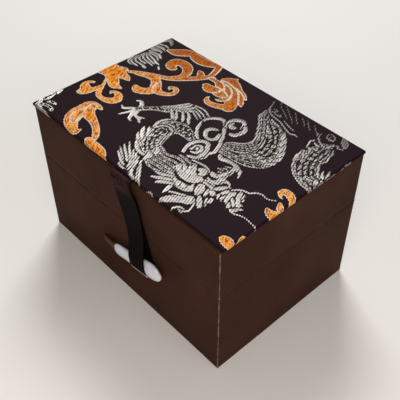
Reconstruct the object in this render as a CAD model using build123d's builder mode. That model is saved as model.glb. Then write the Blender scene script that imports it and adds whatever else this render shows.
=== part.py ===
from build123d import *
from math import cos, radians, sin
import os

os.makedirs("parts", exist_ok=True)

# The closed box stands on Z = 0 with its middle over the origin. X runs along the
# front from left to right, Y goes from front to back, Z is up. Lengths are in mm.
box_width = 100.0
box_depth = 68.5
base_height = 38.5
lid_height = 22.4
seam_gap = 0.3

# Sheet materials, from the outside of a wall inwards
wrap_thickness = 0.4
board_thickness = 2.2
lining_thickness = 0.8
sole_thickness = 0.4
corner_radius = 0.6
wrap_seam = 0.06
turn_in = 9.0
sole_gap = 0.2
lining_setback = 0.4

# Padded brocade panel on the lid
panel_inset = 0.3
panel_height = 1.5
panel_edge_radius = 0.5
panel_card_thickness = 0.7
brocade_thickness = 0.35

# Satin cushions inside the base and the lid
cushion_gap = 0.15
cushion_cover_thickness = 0.35
cushion_edge_radius = 1.6
cushion_crown = 1.2
base_cushion_height = 6.5
lid_cushion_height = 4.2

# Hinge: cloth over the back, tape inside with a fold of slack
hinge_cloth_thickness = 0.4
hinge_cloth_height = 16.0
hinge_tape_thickness = 0.3
hinge_tape_height = 15.0
hinge_tape_inset = 1.5
tape_fold_depth = 3.3
tape_fold_height = 2.1

# Clasp, measured from the middle of the peg's left end, on the front face
clasp_x = -2.52
clasp_z = 23.2
clasp_tilt = 13.0
peg_length = 26.4
peg_stand_off = 2.4
peg_height = 7.8
peg_thickness = 3.0
fabric_clearance = 0.1

# Peg sections from the left end to the tip: place along the peg, half height,
# half thickness and how far the middle lies above the axis
peg_length_shares = [0.0, 0.012, 0.042, 0.12, 0.27, 0.42, 0.57, 0.685, 0.78, 0.875, 0.943, 0.981, 1.0]
peg_height_shares = [0.39, 0.51, 0.62, 0.68, 0.69, 0.71, 0.78, 0.88, 0.97, 0.91, 0.69, 0.44, 0.2]
peg_thickness_shares = [0.5, 0.62, 0.74, 0.83, 0.87, 0.9, 0.94, 0.97, 0.99, 0.93, 0.75, 0.53, 0.27]
peg_middle_shares = [0.0, 0.0, 0.0, 0.0, 0.0, 0.0, 0.0, 0.0, 0.0, -0.01, -0.03, -0.05, -0.06]

# Ribbon strap that loops round the peg
strap_thickness = 0.5
strap_gap = 0.3
strap_along_peg = 14.9
strap_top_width = 10.8
strap_loop_width = 8.8
strap_tail_length = 12.0
strap_loop_reach = 3.7
strap_loop_low = 2.3
strap_loop_high = 3.5
strap_join_low = 14.0
strap_join_high = 17.0
strap_straight_top = 24.0
strap_bend_bottom_z = 46.0
strap_sewn_press = 0.05

# Fabric tab that ties the peg to the base
tab_thickness = 0.6
tab_width = 3.0
tab_anchor_back = 10.7
tab_in_peg = 3.0
tab_bend_radius = 0.4
tab_face_offset = 0.7

# Length by which a cutting body runs past what it cuts
overrun = 1.0

half_width = box_width / 2
half_depth = box_depth / 2
room_width = box_width - 2 * wrap_thickness
room_depth = box_depth - 2 * wrap_thickness
well_width = room_width - 2 * board_thickness
well_depth = room_depth - 2 * board_thickness
inside_width = well_width - 2 * lining_thickness
inside_depth = well_depth - 2 * lining_thickness
floor_z = wrap_thickness + board_thickness
lid_bottom = base_height + seam_gap
lid_top = lid_bottom + lid_height
ceiling_z = lid_top - wrap_thickness - board_thickness
hinge_z = base_height + seam_gap / 2

pieces = {}


def slab(x_span, y_span, z_low, z_high, middle=(0, 0)):
    """A rectangular board or sheet that lies between two heights."""
    with BuildPart() as piece:
        with BuildSketch(Plane.XY.offset(z_low)):
            with Locations(middle):
                Rectangle(x_span, y_span)
        extrude(amount=z_high - z_low)
    return piece


def four_walls(prefix, x_span, y_span, thickness, z_low, z_high):
    """Front and back walls of full width, with the side walls between them."""
    x_middle = (x_span - thickness) / 2
    y_middle = (y_span - thickness) / 2
    side_span = y_span - 2 * thickness
    return {
        prefix + "_front": slab(x_span, thickness, z_low, z_high, (0, -y_middle)),
        prefix + "_back": slab(x_span, thickness, z_low, z_high, (0, y_middle)),
        prefix + "_left": slab(thickness, side_span, z_low, z_high, (-x_middle, 0)),
        prefix + "_right": slab(thickness, side_span, z_low, z_high, (x_middle, 0)),
    }


def crowned_pad(plane, x_span, y_span, height, crown, edge_radius):
    """A pad whose top is a shallow dome, lower at its corners, with soft edges."""
    ball_radius = (x_span**2 + y_span**2) / 8 / crown
    with BuildPart() as pad:
        with BuildSketch(plane):
            Rectangle(x_span, y_span)
        extrude(amount=height)
        top = pad.faces().sort_by(Axis(plane.origin, plane.z_dir))[-1]
        fillet(top.edges(), edge_radius)
        with Locations(plane.from_local_coords((0, 0, height - ball_radius))):
            Sphere(ball_radius, mode=Mode.INTERSECT)
    return pad


def outer_block(z_low, z_high):
    """The covering's outside, sharp at the front right corner where its end shows."""
    with BuildPart() as block:
        with BuildSketch(Plane.XY.offset(z_low)) as outline:
            Rectangle(box_width, box_depth)
            corners = outline.vertices().sort_by(Axis((0, 0, 0), (1, -1, 0)))
            fillet(corners[:-1], corner_radius)
        extrude(amount=z_high - z_low)
    return block


def corner_slit(z_low, z_high):
    """The gap behind the covering's cut end at the front right corner."""
    x_middle = half_width - wrap_thickness / 2 + overrun / 2
    y_middle = -half_depth + wrap_thickness + wrap_seam / 2
    return slab(wrap_thickness + overrun, wrap_seam, z_low, z_high, (x_middle, y_middle))


# Clasp coordinates: along the peg, up across it, and out from the front face
along = Vector(cos(radians(clasp_tilt)), 0, sin(radians(clasp_tilt)))
across = Vector(-sin(radians(clasp_tilt)), 0, cos(radians(clasp_tilt)))
outward = Vector(0, -1, 0)
clasp_face = Plane(origin=(clasp_x, -half_depth, clasp_z), x_dir=along, z_dir=outward)
clasp_plan = Plane(origin=clasp_face.origin, x_dir=along, z_dir=-across)

# Slit in the front wall, through which the tab goes in
with BuildPart() as tab_slit:
    with BuildSketch(clasp_face.offset(overrun)):
        with Locations((-tab_anchor_back, 0)):
            Rectangle(tab_thickness + 2 * fabric_clearance, tab_width + 2 * fabric_clearance)
    extrude(amount=-(overrun + wrap_thickness + board_thickness))

# Base boards
base_rim_z = base_height - wrap_thickness
pieces["base_board_bottom"] = slab(room_width, room_depth, wrap_thickness, floor_z)
pieces |= four_walls("base_board", room_width, room_depth, board_thickness, floor_z, base_rim_z)
with BuildPart() as base_board_front:
    add(pieces["base_board_front"].part)
    add(tab_slit.part, mode=Mode.SUBTRACT)
pieces["base_board_front"] = base_board_front

# Base covering: the outside, the rim and a margin under the bottom
with BuildPart() as base_wrap:
    add(outer_block(0, base_height).part)
    add(slab(room_width, room_depth, wrap_thickness, base_rim_z).part, mode=Mode.SUBTRACT)
    add(slab(well_width, well_depth, 0, base_height).part, mode=Mode.SUBTRACT)
    add(corner_slit(0, base_rim_z).part, mode=Mode.SUBTRACT)
    add(tab_slit.part, mode=Mode.SUBTRACT)
with BuildPart() as base_turn_in:
    add(slab(well_width, well_depth, 0, wrap_thickness).part)
    sole_room = slab(box_width - 2 * turn_in, box_depth - 2 * turn_in, 0, wrap_thickness)
    add(sole_room.part, mode=Mode.SUBTRACT)
with BuildPart() as base_covering:
    add(base_wrap.part)
    add(base_turn_in.part)
pieces["base_wrap"] = base_covering

# Sole sheet between the covering's margins
sole_width = box_width - 2 * turn_in - 2 * sole_gap
sole_depth = box_depth - 2 * turn_in - 2 * sole_gap
pieces["base_sole"] = slab(sole_width, sole_depth, 0, sole_thickness)

# Base lining cards
base_lining_top = base_height - lining_setback
pieces |= four_walls("base_lining", well_width, well_depth, lining_thickness, floor_z, base_lining_top)

# Lid boards
lid_rim_z = lid_bottom + wrap_thickness
pieces["lid_board_top"] = slab(room_width, room_depth, ceiling_z, lid_top - wrap_thickness)
pieces |= four_walls("lid_board", room_width, room_depth, board_thickness, lid_rim_z, ceiling_z)

# Lid covering: the outside, the top and the rim
with BuildPart() as lid_wrap:
    add(outer_block(lid_bottom, lid_top).part)
    lid_room = slab(room_width, room_depth, lid_rim_z, lid_top - wrap_thickness)
    add(lid_room.part, mode=Mode.SUBTRACT)
    add(slab(well_width, well_depth, lid_bottom, lid_rim_z).part, mode=Mode.SUBTRACT)
    add(corner_slit(lid_rim_z, lid_top - wrap_thickness).part, mode=Mode.SUBTRACT)
pieces["lid_wrap"] = lid_wrap

# Lid lining cards
lid_lining_bottom = lid_bottom + lining_setback
pieces |= four_walls("lid_lining", well_width, well_depth, lining_thickness, lid_lining_bottom, ceiling_z)


def cushion(plane, name, height):
    """A domed pad and the satin drawn over its top and sides."""
    x_span = inside_width - 2 * cushion_gap
    y_span = inside_depth - 2 * cushion_gap
    pad_x = x_span - 2 * cushion_cover_thickness
    pad_y = y_span - 2 * cushion_cover_thickness
    pad_height = height - cushion_cover_thickness
    pad_radius = cushion_edge_radius - cushion_cover_thickness
    pad = crowned_pad(plane, pad_x, pad_y, pad_height, cushion_crown, pad_radius)
    outside = crowned_pad(plane, x_span, y_span, height, cushion_crown, cushion_edge_radius)
    with BuildPart() as cover:
        add(outside.part)
        add(pad.part, mode=Mode.SUBTRACT)
    return {name + "_pad": pad, name + "_cover": cover}


ceiling_plane = Plane(origin=(0, 0, ceiling_z), x_dir=(1, 0, 0), z_dir=(0, 0, -1))
pieces |= cushion(Plane.XY.offset(floor_z), "base_cushion", base_cushion_height)
pieces |= cushion(ceiling_plane, "lid_cushion", lid_cushion_height)

# Strap: its tail is glued under the panel and it bends over the lid's front edge
strap_middle = strap_gap + strap_thickness / 2
strap_top_z = lid_top + strap_thickness / 2
with BuildPart() as strap_bend:
    with BuildSketch(Plane.YZ):
        with BuildLine():
            tail = Line((strap_tail_length - half_depth, strap_top_z), (-half_depth, strap_top_z))
            bend = CenterArc((-half_depth, strap_top_z - strap_middle), strap_middle, 90, 90)
            Line(bend @ 1, (-half_depth - strap_middle, strap_bend_bottom_z))
        trace(line_width=strap_thickness)
    extrude(amount=half_width, both=True)

# Strap: the loop goes down behind the peg, under it, and up its front
loop_plane = Plane(
    origin=clasp_face.from_local_coords((strap_along_peg, 0, 0)), x_dir=outward, z_dir=-along
)
loop_radius = strap_loop_reach / 2
loop_front = strap_middle + strap_loop_reach
join_offset = strap_middle + strap_thickness - strap_sewn_press
with BuildPart() as strap_loop:
    with BuildSketch(loop_plane):
        with BuildLine():
            Line((strap_middle, strap_straight_top), (strap_middle, -strap_loop_low))
            CenterArc((strap_middle + loop_radius, -strap_loop_low), loop_radius, 180, 180)
            Line((loop_front, -strap_loop_low), (loop_front, strap_loop_high))
        trace(line_width=strap_thickness)
        with BuildLine():
            Polyline(
                (loop_front, strap_loop_high),
                (join_offset, strap_join_low),
                (join_offset, strap_join_high),
            )
        trace(line_width=strap_thickness)
    extrude(amount=strap_top_width, both=True)

# Strap: both parts joined and cut to the ribbon's width, square to the peg
strap_rise = lid_top - clasp_z - strap_along_peg * along.Z
strap_top_v = strap_rise / across.Z
strap_end_v = strap_top_v + strap_top_width / 2
with BuildPart() as clasp_strap:
    add(strap_bend.part)
    add(strap_loop.part)
    with BuildSketch(clasp_face):
        with BuildLine():
            Polyline(
                (strap_along_peg - strap_loop_width / 2, -strap_end_v),
                (strap_along_peg + strap_loop_width / 2, -strap_end_v),
                (strap_along_peg + strap_loop_width / 2, strap_loop_high),
                (strap_along_peg + strap_top_width / 2, strap_end_v),
                (strap_along_peg - strap_top_width / 2, strap_end_v),
                (strap_along_peg - strap_loop_width / 2, strap_loop_high),
                close=True,
            )
        make_face()
    extrude(amount=half_depth, both=True, mode=Mode.INTERSECT)
pieces["clasp_strap"] = clasp_strap

# Room for the strap's tail under the panel
tail_x = clasp_face.from_local_coords((strap_along_peg, strap_top_v, 0)).X
with BuildPart() as tail_room:
    with BuildSketch(Plane.XY.offset(lid_top)):
        with Locations((tail_x, strap_tail_length / 2 - half_depth)):
            Rectangle(strap_top_width + 2 * strap_thickness, strap_tail_length + 2 * fabric_clearance)
    extrude(amount=strap_thickness)

# Brocade panel: card, wadding and the brocade drawn over both
panel_width = box_width - 2 * panel_inset
panel_depth = box_depth - 2 * panel_inset
card_width = panel_width - 2 * brocade_thickness
card_depth = panel_depth - 2 * brocade_thickness
card_top = lid_top + panel_card_thickness
with BuildPart() as panel_card:
    add(slab(card_width, card_depth, lid_top, card_top).part)
    add(tail_room.part, mode=Mode.SUBTRACT)
pieces["panel_card"] = panel_card

wadding_top = lid_top + panel_height - brocade_thickness
pieces["panel_wadding"] = slab(card_width, card_depth, card_top, wadding_top)

with BuildPart() as panel_brocade:
    add(slab(panel_width, panel_depth, lid_top, lid_top + panel_height).part)
    fillet(panel_brocade.edges().filter_by(Axis.Z), corner_radius)
    fillet(panel_brocade.edges().group_by(Axis.Z)[-1], panel_edge_radius)
    add(slab(card_width, card_depth, lid_top, wadding_top).part, mode=Mode.SUBTRACT)
    add(tail_room.part, mode=Mode.SUBTRACT)
pieces["panel_brocade"] = panel_brocade

# Cloth over the back, across the seam
with BuildPart() as hinge_cloth:
    with BuildSketch(Plane.XZ.offset(-half_depth)):
        with Locations((0, hinge_z)):
            Rectangle(box_width, hinge_cloth_height)
    extrude(amount=-hinge_cloth_thickness)
pieces["hinge_cloth"] = hinge_cloth

# Tape inside the back, with a fold at the seam that pulls tight when the lid is open
tape_y = inside_depth / 2 - hinge_tape_thickness / 2
with BuildPart() as hinge_tape:
    with BuildSketch(Plane.YZ):
        with BuildLine():
            Polyline(
                (tape_y, hinge_z - hinge_tape_height / 2),
                (tape_y, hinge_z - tape_fold_height / 2),
                (tape_y - tape_fold_depth, hinge_z),
                (tape_y, hinge_z + tape_fold_height / 2),
                (tape_y, hinge_z + hinge_tape_height / 2),
            )
        trace(line_width=hinge_tape_thickness)
    extrude(amount=inside_width / 2 - hinge_tape_inset, both=True)
pieces["hinge_tape"] = hinge_tape

# Bone peg, flat and rounded, wider towards its tapered tip
with BuildPart() as peg_body:
    stations = zip(peg_length_shares, peg_height_shares, peg_thickness_shares, peg_middle_shares)
    for length_share, height_share, thickness_share, middle_share in stations:
        middle = (peg_length * length_share, peg_height * middle_share, peg_stand_off)
        section = Plane(
            origin=clasp_face.from_local_coords(middle), x_dir=across, z_dir=along
        )
        with BuildSketch(section):
            Ellipse(peg_height / 2 * height_share, peg_thickness / 2 * thickness_share)
    loft()
with BuildPart() as clasp_peg:
    add(peg_body.part)
    with BuildSketch(clasp_plan.offset(-tab_width / 2 - fabric_clearance / 2)):
        with Locations(((tab_in_peg + fabric_clearance - overrun) / 2, peg_stand_off)):
            Rectangle(tab_in_peg + fabric_clearance + overrun, tab_thickness + fabric_clearance)
    extrude(amount=tab_width + fabric_clearance, mode=Mode.SUBTRACT)
pieces["clasp_peg"] = clasp_peg

# Tab: from the slit in the wall, along the face, into the slot in the peg's end
with BuildPart() as clasp_tab:
    with BuildSketch(clasp_plan):
        with BuildLine():
            FilletPolyline(
                (-tab_anchor_back, -wrap_thickness - board_thickness),
                (-tab_anchor_back, tab_face_offset),
                (0, peg_stand_off),
                (tab_in_peg, peg_stand_off),
                radius=tab_bend_radius,
            )
        trace(line_width=tab_thickness)
    extrude(amount=tab_width / 2, both=True)
pieces["clasp_tab"] = clasp_tab

for name, piece in pieces.items():
    piece.part.label = name
    export_step(piece.part, f"parts/{name}.step")
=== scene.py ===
import math
import bmesh
import bpy
import numpy as np
from mathutils import Matrix, Vector


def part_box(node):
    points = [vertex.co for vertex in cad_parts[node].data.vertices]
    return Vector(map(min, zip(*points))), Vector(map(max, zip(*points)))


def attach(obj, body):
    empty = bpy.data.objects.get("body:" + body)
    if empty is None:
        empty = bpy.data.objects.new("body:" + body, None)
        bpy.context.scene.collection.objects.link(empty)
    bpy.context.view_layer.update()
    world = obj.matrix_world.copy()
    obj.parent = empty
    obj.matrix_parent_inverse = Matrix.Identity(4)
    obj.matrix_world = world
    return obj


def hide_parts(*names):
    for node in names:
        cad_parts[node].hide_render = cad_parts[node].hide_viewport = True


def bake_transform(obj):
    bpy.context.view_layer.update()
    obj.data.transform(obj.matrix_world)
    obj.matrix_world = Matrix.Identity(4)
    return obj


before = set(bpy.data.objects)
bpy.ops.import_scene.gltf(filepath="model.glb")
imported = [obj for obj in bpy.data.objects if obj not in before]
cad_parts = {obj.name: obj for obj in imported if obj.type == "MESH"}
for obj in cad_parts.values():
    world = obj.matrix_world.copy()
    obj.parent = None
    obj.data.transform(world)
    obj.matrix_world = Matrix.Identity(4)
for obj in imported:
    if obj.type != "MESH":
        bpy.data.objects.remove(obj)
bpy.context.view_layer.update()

mm = 0.001

# Camera
# It stands where the photograph's stood, in front of the box's near corner, and looks
# down on the lid. Its place and lens come from the box's seven visible corners.
bpy.ops.object.camera_add()
camera = bpy.context.object
camera.data.lens = 61.4
camera.data.clip_start = 0.01
swing = Matrix.Rotation(math.radians(47.72), 4, "Z")
tip = Matrix.Rotation(math.radians(90 - 43.73), 4, "X")
roll = Matrix.Rotation(math.radians(-0.30), 4, "Z")
camera.matrix_world = Matrix.Translation((0.1450, -0.1286, 0.2111)) @ swing @ tip @ roll
bpy.context.scene.camera = camera
bpy.context.scene.view_settings.view_transform = "Standard"


# Floor and lamps
# A plain pale table top, lit by a soft lamp beside the camera, a broad one at the right
# and one behind at the left, which catches the metallic threads.
def to_linear(hex_colour):
    """An sRGB hex colour as the linear colour that a shader takes."""
    shares = [int(hex_colour[i : i + 2], 16) / 255 for i in (1, 3, 5)]
    return [c / 12.92 if c <= 0.04045 else ((c + 0.055) / 1.055) ** 2.4 for c in shares] + [1.0]


def set_inputs(node, inputs):
    """Gives each input of a node a value, or a link from another node or its output."""
    for name, value in inputs.items():
        if isinstance(value, bpy.types.Node):
            value = value.outputs[0]
        if isinstance(value, bpy.types.NodeSocket):
            node.id_data.links.new(value, node.inputs[name])
        else:
            node.inputs[name].default_value = value


def add_node(tree, kind, inputs=None, ramp=(), **settings):
    """Adds a node with its settings, its inputs and the stops of its colour ramp."""
    added = tree.nodes.new(kind)
    for name, value in settings.items():
        setattr(added, name, value)
    set_inputs(added, inputs or {})
    for stop, (position, colour) in enumerate(ramp):
        added.color_ramp.elements[stop].position = position
        added.color_ramp.elements[stop].color = to_linear(colour)
    return added


def start_material(name, colour, **sockets):
    """A new material with one base colour, and its tree and surface shader."""
    material = bpy.data.materials.new(name)
    material.use_nodes = True
    surface = material.node_tree.nodes["Principled BSDF"]
    values = {socket.replace("_", " "): value for socket, value in sockets.items()}
    set_inputs(surface, {"Base Color": to_linear(colour), **values})
    return material, material.node_tree, surface


bpy.ops.mesh.primitive_plane_add(size=4, location=(0, 0, -0.0001))
floor = bpy.context.object
floor.name = "floor"
floor_paint, tree, surface = start_material("matt pale floor paint", "#e4e1dc", Roughness=0.85)
floor.data.materials.append(floor_paint)

room_light = bpy.data.worlds.new("studio")
bpy.context.scene.world = room_light
room_light.use_nodes = True
sky = room_light.node_tree.nodes["Background"]
set_inputs(sky, {"Color": to_linear("#f4f5f8"), "Strength": 0.24})
for lamp_name, place, size, watts, tint in [
    ("key_lamp", (0.20, -0.21, 0.26), 0.18, 0.66, "#fff4ea"),
    ("fill_lamp", (0.8, 0.05, 0.45), 0.6, 1.3, "#f8f4ff"),
    ("back_lamp", (-0.37, 0.35, 0.65), 0.3, 4.6, "#ffffff"),
]:
    bpy.ops.object.light_add(type="AREA", location=place)
    lamp = bpy.context.object
    lamp.name = lamp_name
    lamp.data.size = size
    lamp.data.energy = watts
    lamp.data.color = to_linear(tint)[:3]
    toward_box = Vector((0, 0, 0.03)) - Vector(place)
    lamp.rotation_euler = toward_box.to_track_quat("-Z", "Y").to_euler()


# Boards
# Grey paper board, die-cut and glued edge to edge into an open tray for the base and
# one for the lid. All of it is hidden under the coverings and the linings.
greyboard, tree, surface = start_material("grey paper board", "#8d8678", Roughness=0.95)
place = add_node(tree, "ShaderNodeTexCoord").outputs["Object"]
# Flecks of pulp, 1.1 mm across
pulp = add_node(tree, "ShaderNodeTexNoise", {"Vector": place, "Scale": 900, "Detail": 6})
pulp_tint = add_node(
    tree, "ShaderNodeValToRGB", {"Fac": pulp}, ramp=[(0, "#756f63"), (1, "#a29b8c")]
)
pulp_bump = add_node(
    tree, "ShaderNodeBump", {"Height": pulp, "Strength": 0.4, "Distance": 0.1 * mm}
)
set_inputs(surface, {"Base Color": pulp_tint, "Normal": pulp_bump})

sides = ["front", "back", "left", "right"]
board_nodes = ["base_board_bottom", "lid_board_top", "panel_card"]
board_nodes += [tray + "_board_" + side for tray in ("base", "lid") for side in sides]
for board in board_nodes:
    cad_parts[board].data.materials.clear()
    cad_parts[board].data.materials.append(greyboard)


# Leatherette coverings
# Dark brown embossed paper with a soft polymer skin, like thin leather. It is pasted on
# by hand, so it is turned over the rims, and its edges are soft and a little worn.
def select_parts(piece, faces=None, edges=None):
    """In edit mode, selects only the faces or edges for which the test holds."""
    bpy.ops.mesh.select_mode(type="FACE" if faces else "EDGE")
    bpy.ops.mesh.select_all(action="DESELECT")
    form = bmesh.from_edit_mesh(piece.data)
    for part in form.faces if faces else form.edges:
        part.select = bool((faces or edges)(part))
    form.select_flush_mode()
    bmesh.update_edit_mesh(piece.data)


def add_block(name, low, high):
    """A block between two corners, its place in its mesh, ready in edit mode."""
    bpy.ops.object.select_all(action="DESELECT")
    middle = [(a + b) / 2 for a, b in zip(low, high)]
    lengths = [b - a for a, b in zip(low, high)]
    bpy.ops.mesh.primitive_cube_add(size=1, location=middle, scale=lengths)
    block = bpy.context.object
    block.name = name
    bpy.ops.object.transform_apply(location=True, rotation=True, scale=True)
    bpy.ops.object.mode_set(mode="EDIT")
    return block


def cut_across(piece, low, high, spacing):
    """Cuts the whole piece into even strips along X, Y and Z."""
    for axis in range(3):
        steps = max(1, round((high[axis] - low[axis]) / spacing))
        for step in range(1, steps):
            point = [0, 0, 0]
            point[axis] = low[axis] + (high[axis] - low[axis]) * step / steps
            normal = [float(axis == i) for i in range(3)]
            bpy.ops.mesh.select_all(action="SELECT")
            bpy.ops.mesh.bisect(plane_co=point, plane_no=normal)


def select_only(piece):
    """Makes the piece the one that is selected and active."""
    bpy.ops.object.select_all(action="DESELECT")
    piece.select_set(True)
    bpy.context.view_layer.objects.active = piece


def apply_modifiers(piece):
    """Makes the piece's modifiers part of its mesh."""
    select_only(piece)
    for modifier in list(piece.modifiers):
        bpy.ops.object.modifier_apply(modifier=modifier.name)


def get_points(piece):
    """The places of the mesh's points."""
    return np.array([v.co for v in piece.data.vertices])


def set_points(piece, points):
    """Moves the mesh's points to these places."""
    piece.data.vertices.foreach_set("co", points.ravel())
    piece.data.update()


def store(piece, name, values):
    """Keeps a value for each point of the mesh, for its material to read."""
    piece.data.attributes.new(name, "FLOAT", "POINT").data.foreach_set("value", values)


def ripple(piece, size, strength):
    """Makes the surface slightly uneven, with waves of about that size."""
    waves = bpy.data.textures.new(piece.name + "_waves", type="CLOUDS")
    waves.noise_scale = size
    uneven = piece.modifiers.new("uneven", "DISPLACE")
    uneven.texture = waves
    uneven.strength = strength
    uneven.mid_level = 0.5


def smooth(piece, degrees):
    """Smooth shading, with a crease wherever faces meet at more than the angle."""
    select_only(piece)
    bpy.ops.object.shade_smooth_by_angle(angle=math.radians(degrees))


leatherette, tree, surface = start_material(
    "dark brown leatherette paper", "#3e271d", Roughness=0.62, Specular_IOR_Level=0.025
)
place = add_node(tree, "ShaderNodeTexCoord").outputs["Object"]
# Tone: clouds of the paste underneath, 22 mm across, and the print's speckle of 0.7 mm
clouds = add_node(tree, "ShaderNodeTexNoise", {"Vector": place, "Scale": 45, "Detail": 3})
speckle = add_node(tree, "ShaderNodeTexNoise", {"Vector": place, "Scale": 1500, "Detail": 2})
tones = add_node(
    tree, "ShaderNodeValToRGB", {"Fac": clouds}, ramp=[(0.3, "#37221a"), (0.7, "#442b20")]
)
speckled = add_node(
    tree,
    "ShaderNodeMixRGB",
    {"Fac": 0.22, "Color1": tones, "Color2": speckle},
    blend_type="OVERLAY",
)
# Worn edges: the attribute is 1 on the edges and fades within a millimetre
worn = add_node(tree, "ShaderNodeAttribute", attribute_name="worn").outputs["Fac"]
patches = add_node(tree, "ShaderNodeTexNoise", {"Vector": place, "Scale": 330, "Detail": 4})
patchy_wear = add_node(tree, "ShaderNodeMath", {0: worn, 1: patches}, operation="MULTIPLY")
wear = add_node(
    tree,
    "ShaderNodeMapRange",
    {"Value": patchy_wear, "From Min": 0.38, "From Max": 0.75, "To Max": 0.6},
)
edged = add_node(
    tree,
    "ShaderNodeMixRGB",
    {"Fac": wear, "Color1": speckled, "Color2": to_linear("#5d483b")},
)
# Dust: a few pale specks, 0.5 mm across
dust_cells = add_node(tree, "ShaderNodeTexVoronoi", {"Vector": place, "Scale": 130})
near_cell = add_node(tree, "ShaderNodeMath", {0: dust_cells, 1: 0.035}, operation="LESS_THAN")
cell_number = add_node(
    tree, "ShaderNodeSeparateColor", {"Color": dust_cells.outputs["Color"]}
)
rare = add_node(tree, "ShaderNodeMath", {0: cell_number, 1: 0.93}, operation="GREATER_THAN")
specks = add_node(tree, "ShaderNodeMath", {0: near_cell, 1: rare}, operation="MULTIPLY")
dusty = add_node(
    tree,
    "ShaderNodeMixRGB",
    {"Fac": specks, "Color1": edged, "Color2": to_linear("#806d60")},
)
# Grain: pebbles of 0.45 mm from the embossing roller, and the paper's waviness
pebbles = add_node(
    tree, "ShaderNodeTexVoronoi", {"Vector": place, "Scale": 2200}, feature="F1"
)
grain = add_node(
    tree,
    "ShaderNodeBump",
    {"Height": pebbles, "Strength": 0.35, "Distance": 0.05 * mm},
    invert=True,
)
waves = add_node(
    tree,
    "ShaderNodeBump",
    {"Height": clouds, "Strength": 0.25, "Distance": 1.2 * mm, "Normal": grain},
)
shine = add_node(
    tree, "ShaderNodeMapRange", {"Value": speckle, "To Min": 0.52, "To Max": 0.7}
)
set_inputs(surface, {"Base Color": dusty, "Normal": waves, "Roughness": shine})


def mark_worn_edges(piece, low, high):
    """Stores how near each point is to an edge of the box that the piece covers."""
    points = get_points(piece)
    to_faces = np.minimum(points - np.array(low), np.array(high) - points)
    to_edge = np.sort(to_faces, axis=1)[:, 1]
    fades_over = 0.5 * mm
    store(piece, "worn", np.exp(-np.maximum(to_edge, 0) / fades_over))


def cover_tray(name, body, rim, margin):
    """Covers a tray: its walls, its rim, and the far side with a margin or closed."""
    rim_width = 2.2 * mm
    turned_in = 0.9 * mm
    low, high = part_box(name)
    cover = add_block(name + "_leatherette", low, high)
    # The rim is turned in over the board to the lining, and the other side has a margin
    rim_z, far_z = (high.z, low.z) if rim > 0 else (low.z, high.z)
    select_parts(cover, faces=lambda f: f.normal.z * rim > 0.9)
    bpy.ops.mesh.inset(thickness=rim_width)
    bpy.ops.mesh.delete(type="FACE")
    select_parts(cover, edges=lambda e: e.is_boundary)
    bpy.ops.mesh.extrude_edges_move(TRANSFORM_OT_translate={"value": (0, 0, -rim * turned_in)})
    if margin:
        select_parts(cover, faces=lambda f: f.normal.z * rim < -0.9)
        bpy.ops.mesh.inset(thickness=margin)
        bpy.ops.mesh.delete(type="FACE")

    # Three corners are folded round the board, and the near right one has the cut end
    touching = 1e-6

    def on_outside(edge):
        return all(
            min(abs(v.co.x - low.x), abs(v.co.x - high.x)) < touching
            or min(abs(v.co.y - low.y), abs(v.co.y - high.y)) < touching
            for v in edge.verts
        )

    def round_at(edge, z):
        return on_outside(edge) and all(abs(v.co.z - z) < touching for v in edge.verts)

    def upright(edge, near_right):
        middle = (edge.verts[0].co + edge.verts[1].co) / 2
        is_near_right = middle.x > 0 and middle.y < 0
        tall = abs(edge.verts[0].co.z - edge.verts[1].co.z) > 10 * mm
        return tall and on_outside(edge) and is_near_right == near_right

    select_parts(cover, edges=lambda e: round_at(e, far_z))
    bpy.ops.mesh.bevel(offset=0.35 * mm, segments=3)
    select_parts(cover, edges=lambda e: round_at(e, rim_z))
    bpy.ops.mesh.bevel(offset=0.1 * mm, segments=2)
    select_parts(cover, edges=lambda e: upright(e, False))
    bpy.ops.mesh.bevel(offset=0.6 * mm, segments=4)
    select_parts(cover, edges=lambda e: upright(e, True))
    bpy.ops.mesh.bevel(offset=0.2 * mm, segments=2)
    cut_across(cover, low, high, 4 * mm)
    bpy.ops.object.mode_set(mode="OBJECT")
    finer = cover.modifiers.new("finer", "SUBSURF")
    finer.subdivision_type = "SIMPLE"
    finer.levels = finer.render_levels = 1
    ripple(cover, 22 * mm, 0.16 * mm)
    skin = cover.modifiers.new("thickness", "SOLIDIFY")
    skin.thickness = 0.32 * mm
    skin.offset = -1
    apply_modifiers(cover)
    smooth(cover, 35)
    mark_worn_edges(cover, low, high)
    cover.data.materials.append(leatherette)
    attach(cover, body)
    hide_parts(name)
    return cover


base_cover = cover_tray("base_wrap", "base", rim=1, margin=8.6 * mm)
lid_cover = cover_tray("lid_wrap", "lid", rim=-1, margin=0)

# Cut end of the covering
# At the near right corner the two ends of the paper meet, and the pale core of the cut
# paper shows as a thin uneven line. Each tray has its own.
paper_core, tree, surface = start_material("cut edge of the paper", "#6b5547", Roughness=0.9)
place = add_node(tree, "ShaderNodeTexCoord").outputs["Object"]
# Worn and dirty patches, 2.4 mm long
core_patches = add_node(tree, "ShaderNodeTexNoise", {"Vector": place, "Scale": 420, "Detail": 5})
core_tint = add_node(
    tree,
    "ShaderNodeValToRGB",
    {"Fac": core_patches},
    ramp=[(0.36, "#3f2d24"), (0.62, "#77604f")],
)
core_bump = add_node(
    tree, "ShaderNodeBump", {"Height": core_patches, "Strength": 0.6, "Distance": 0.1 * mm}
)
set_inputs(surface, {"Base Color": core_tint, "Normal": core_bump})

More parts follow.
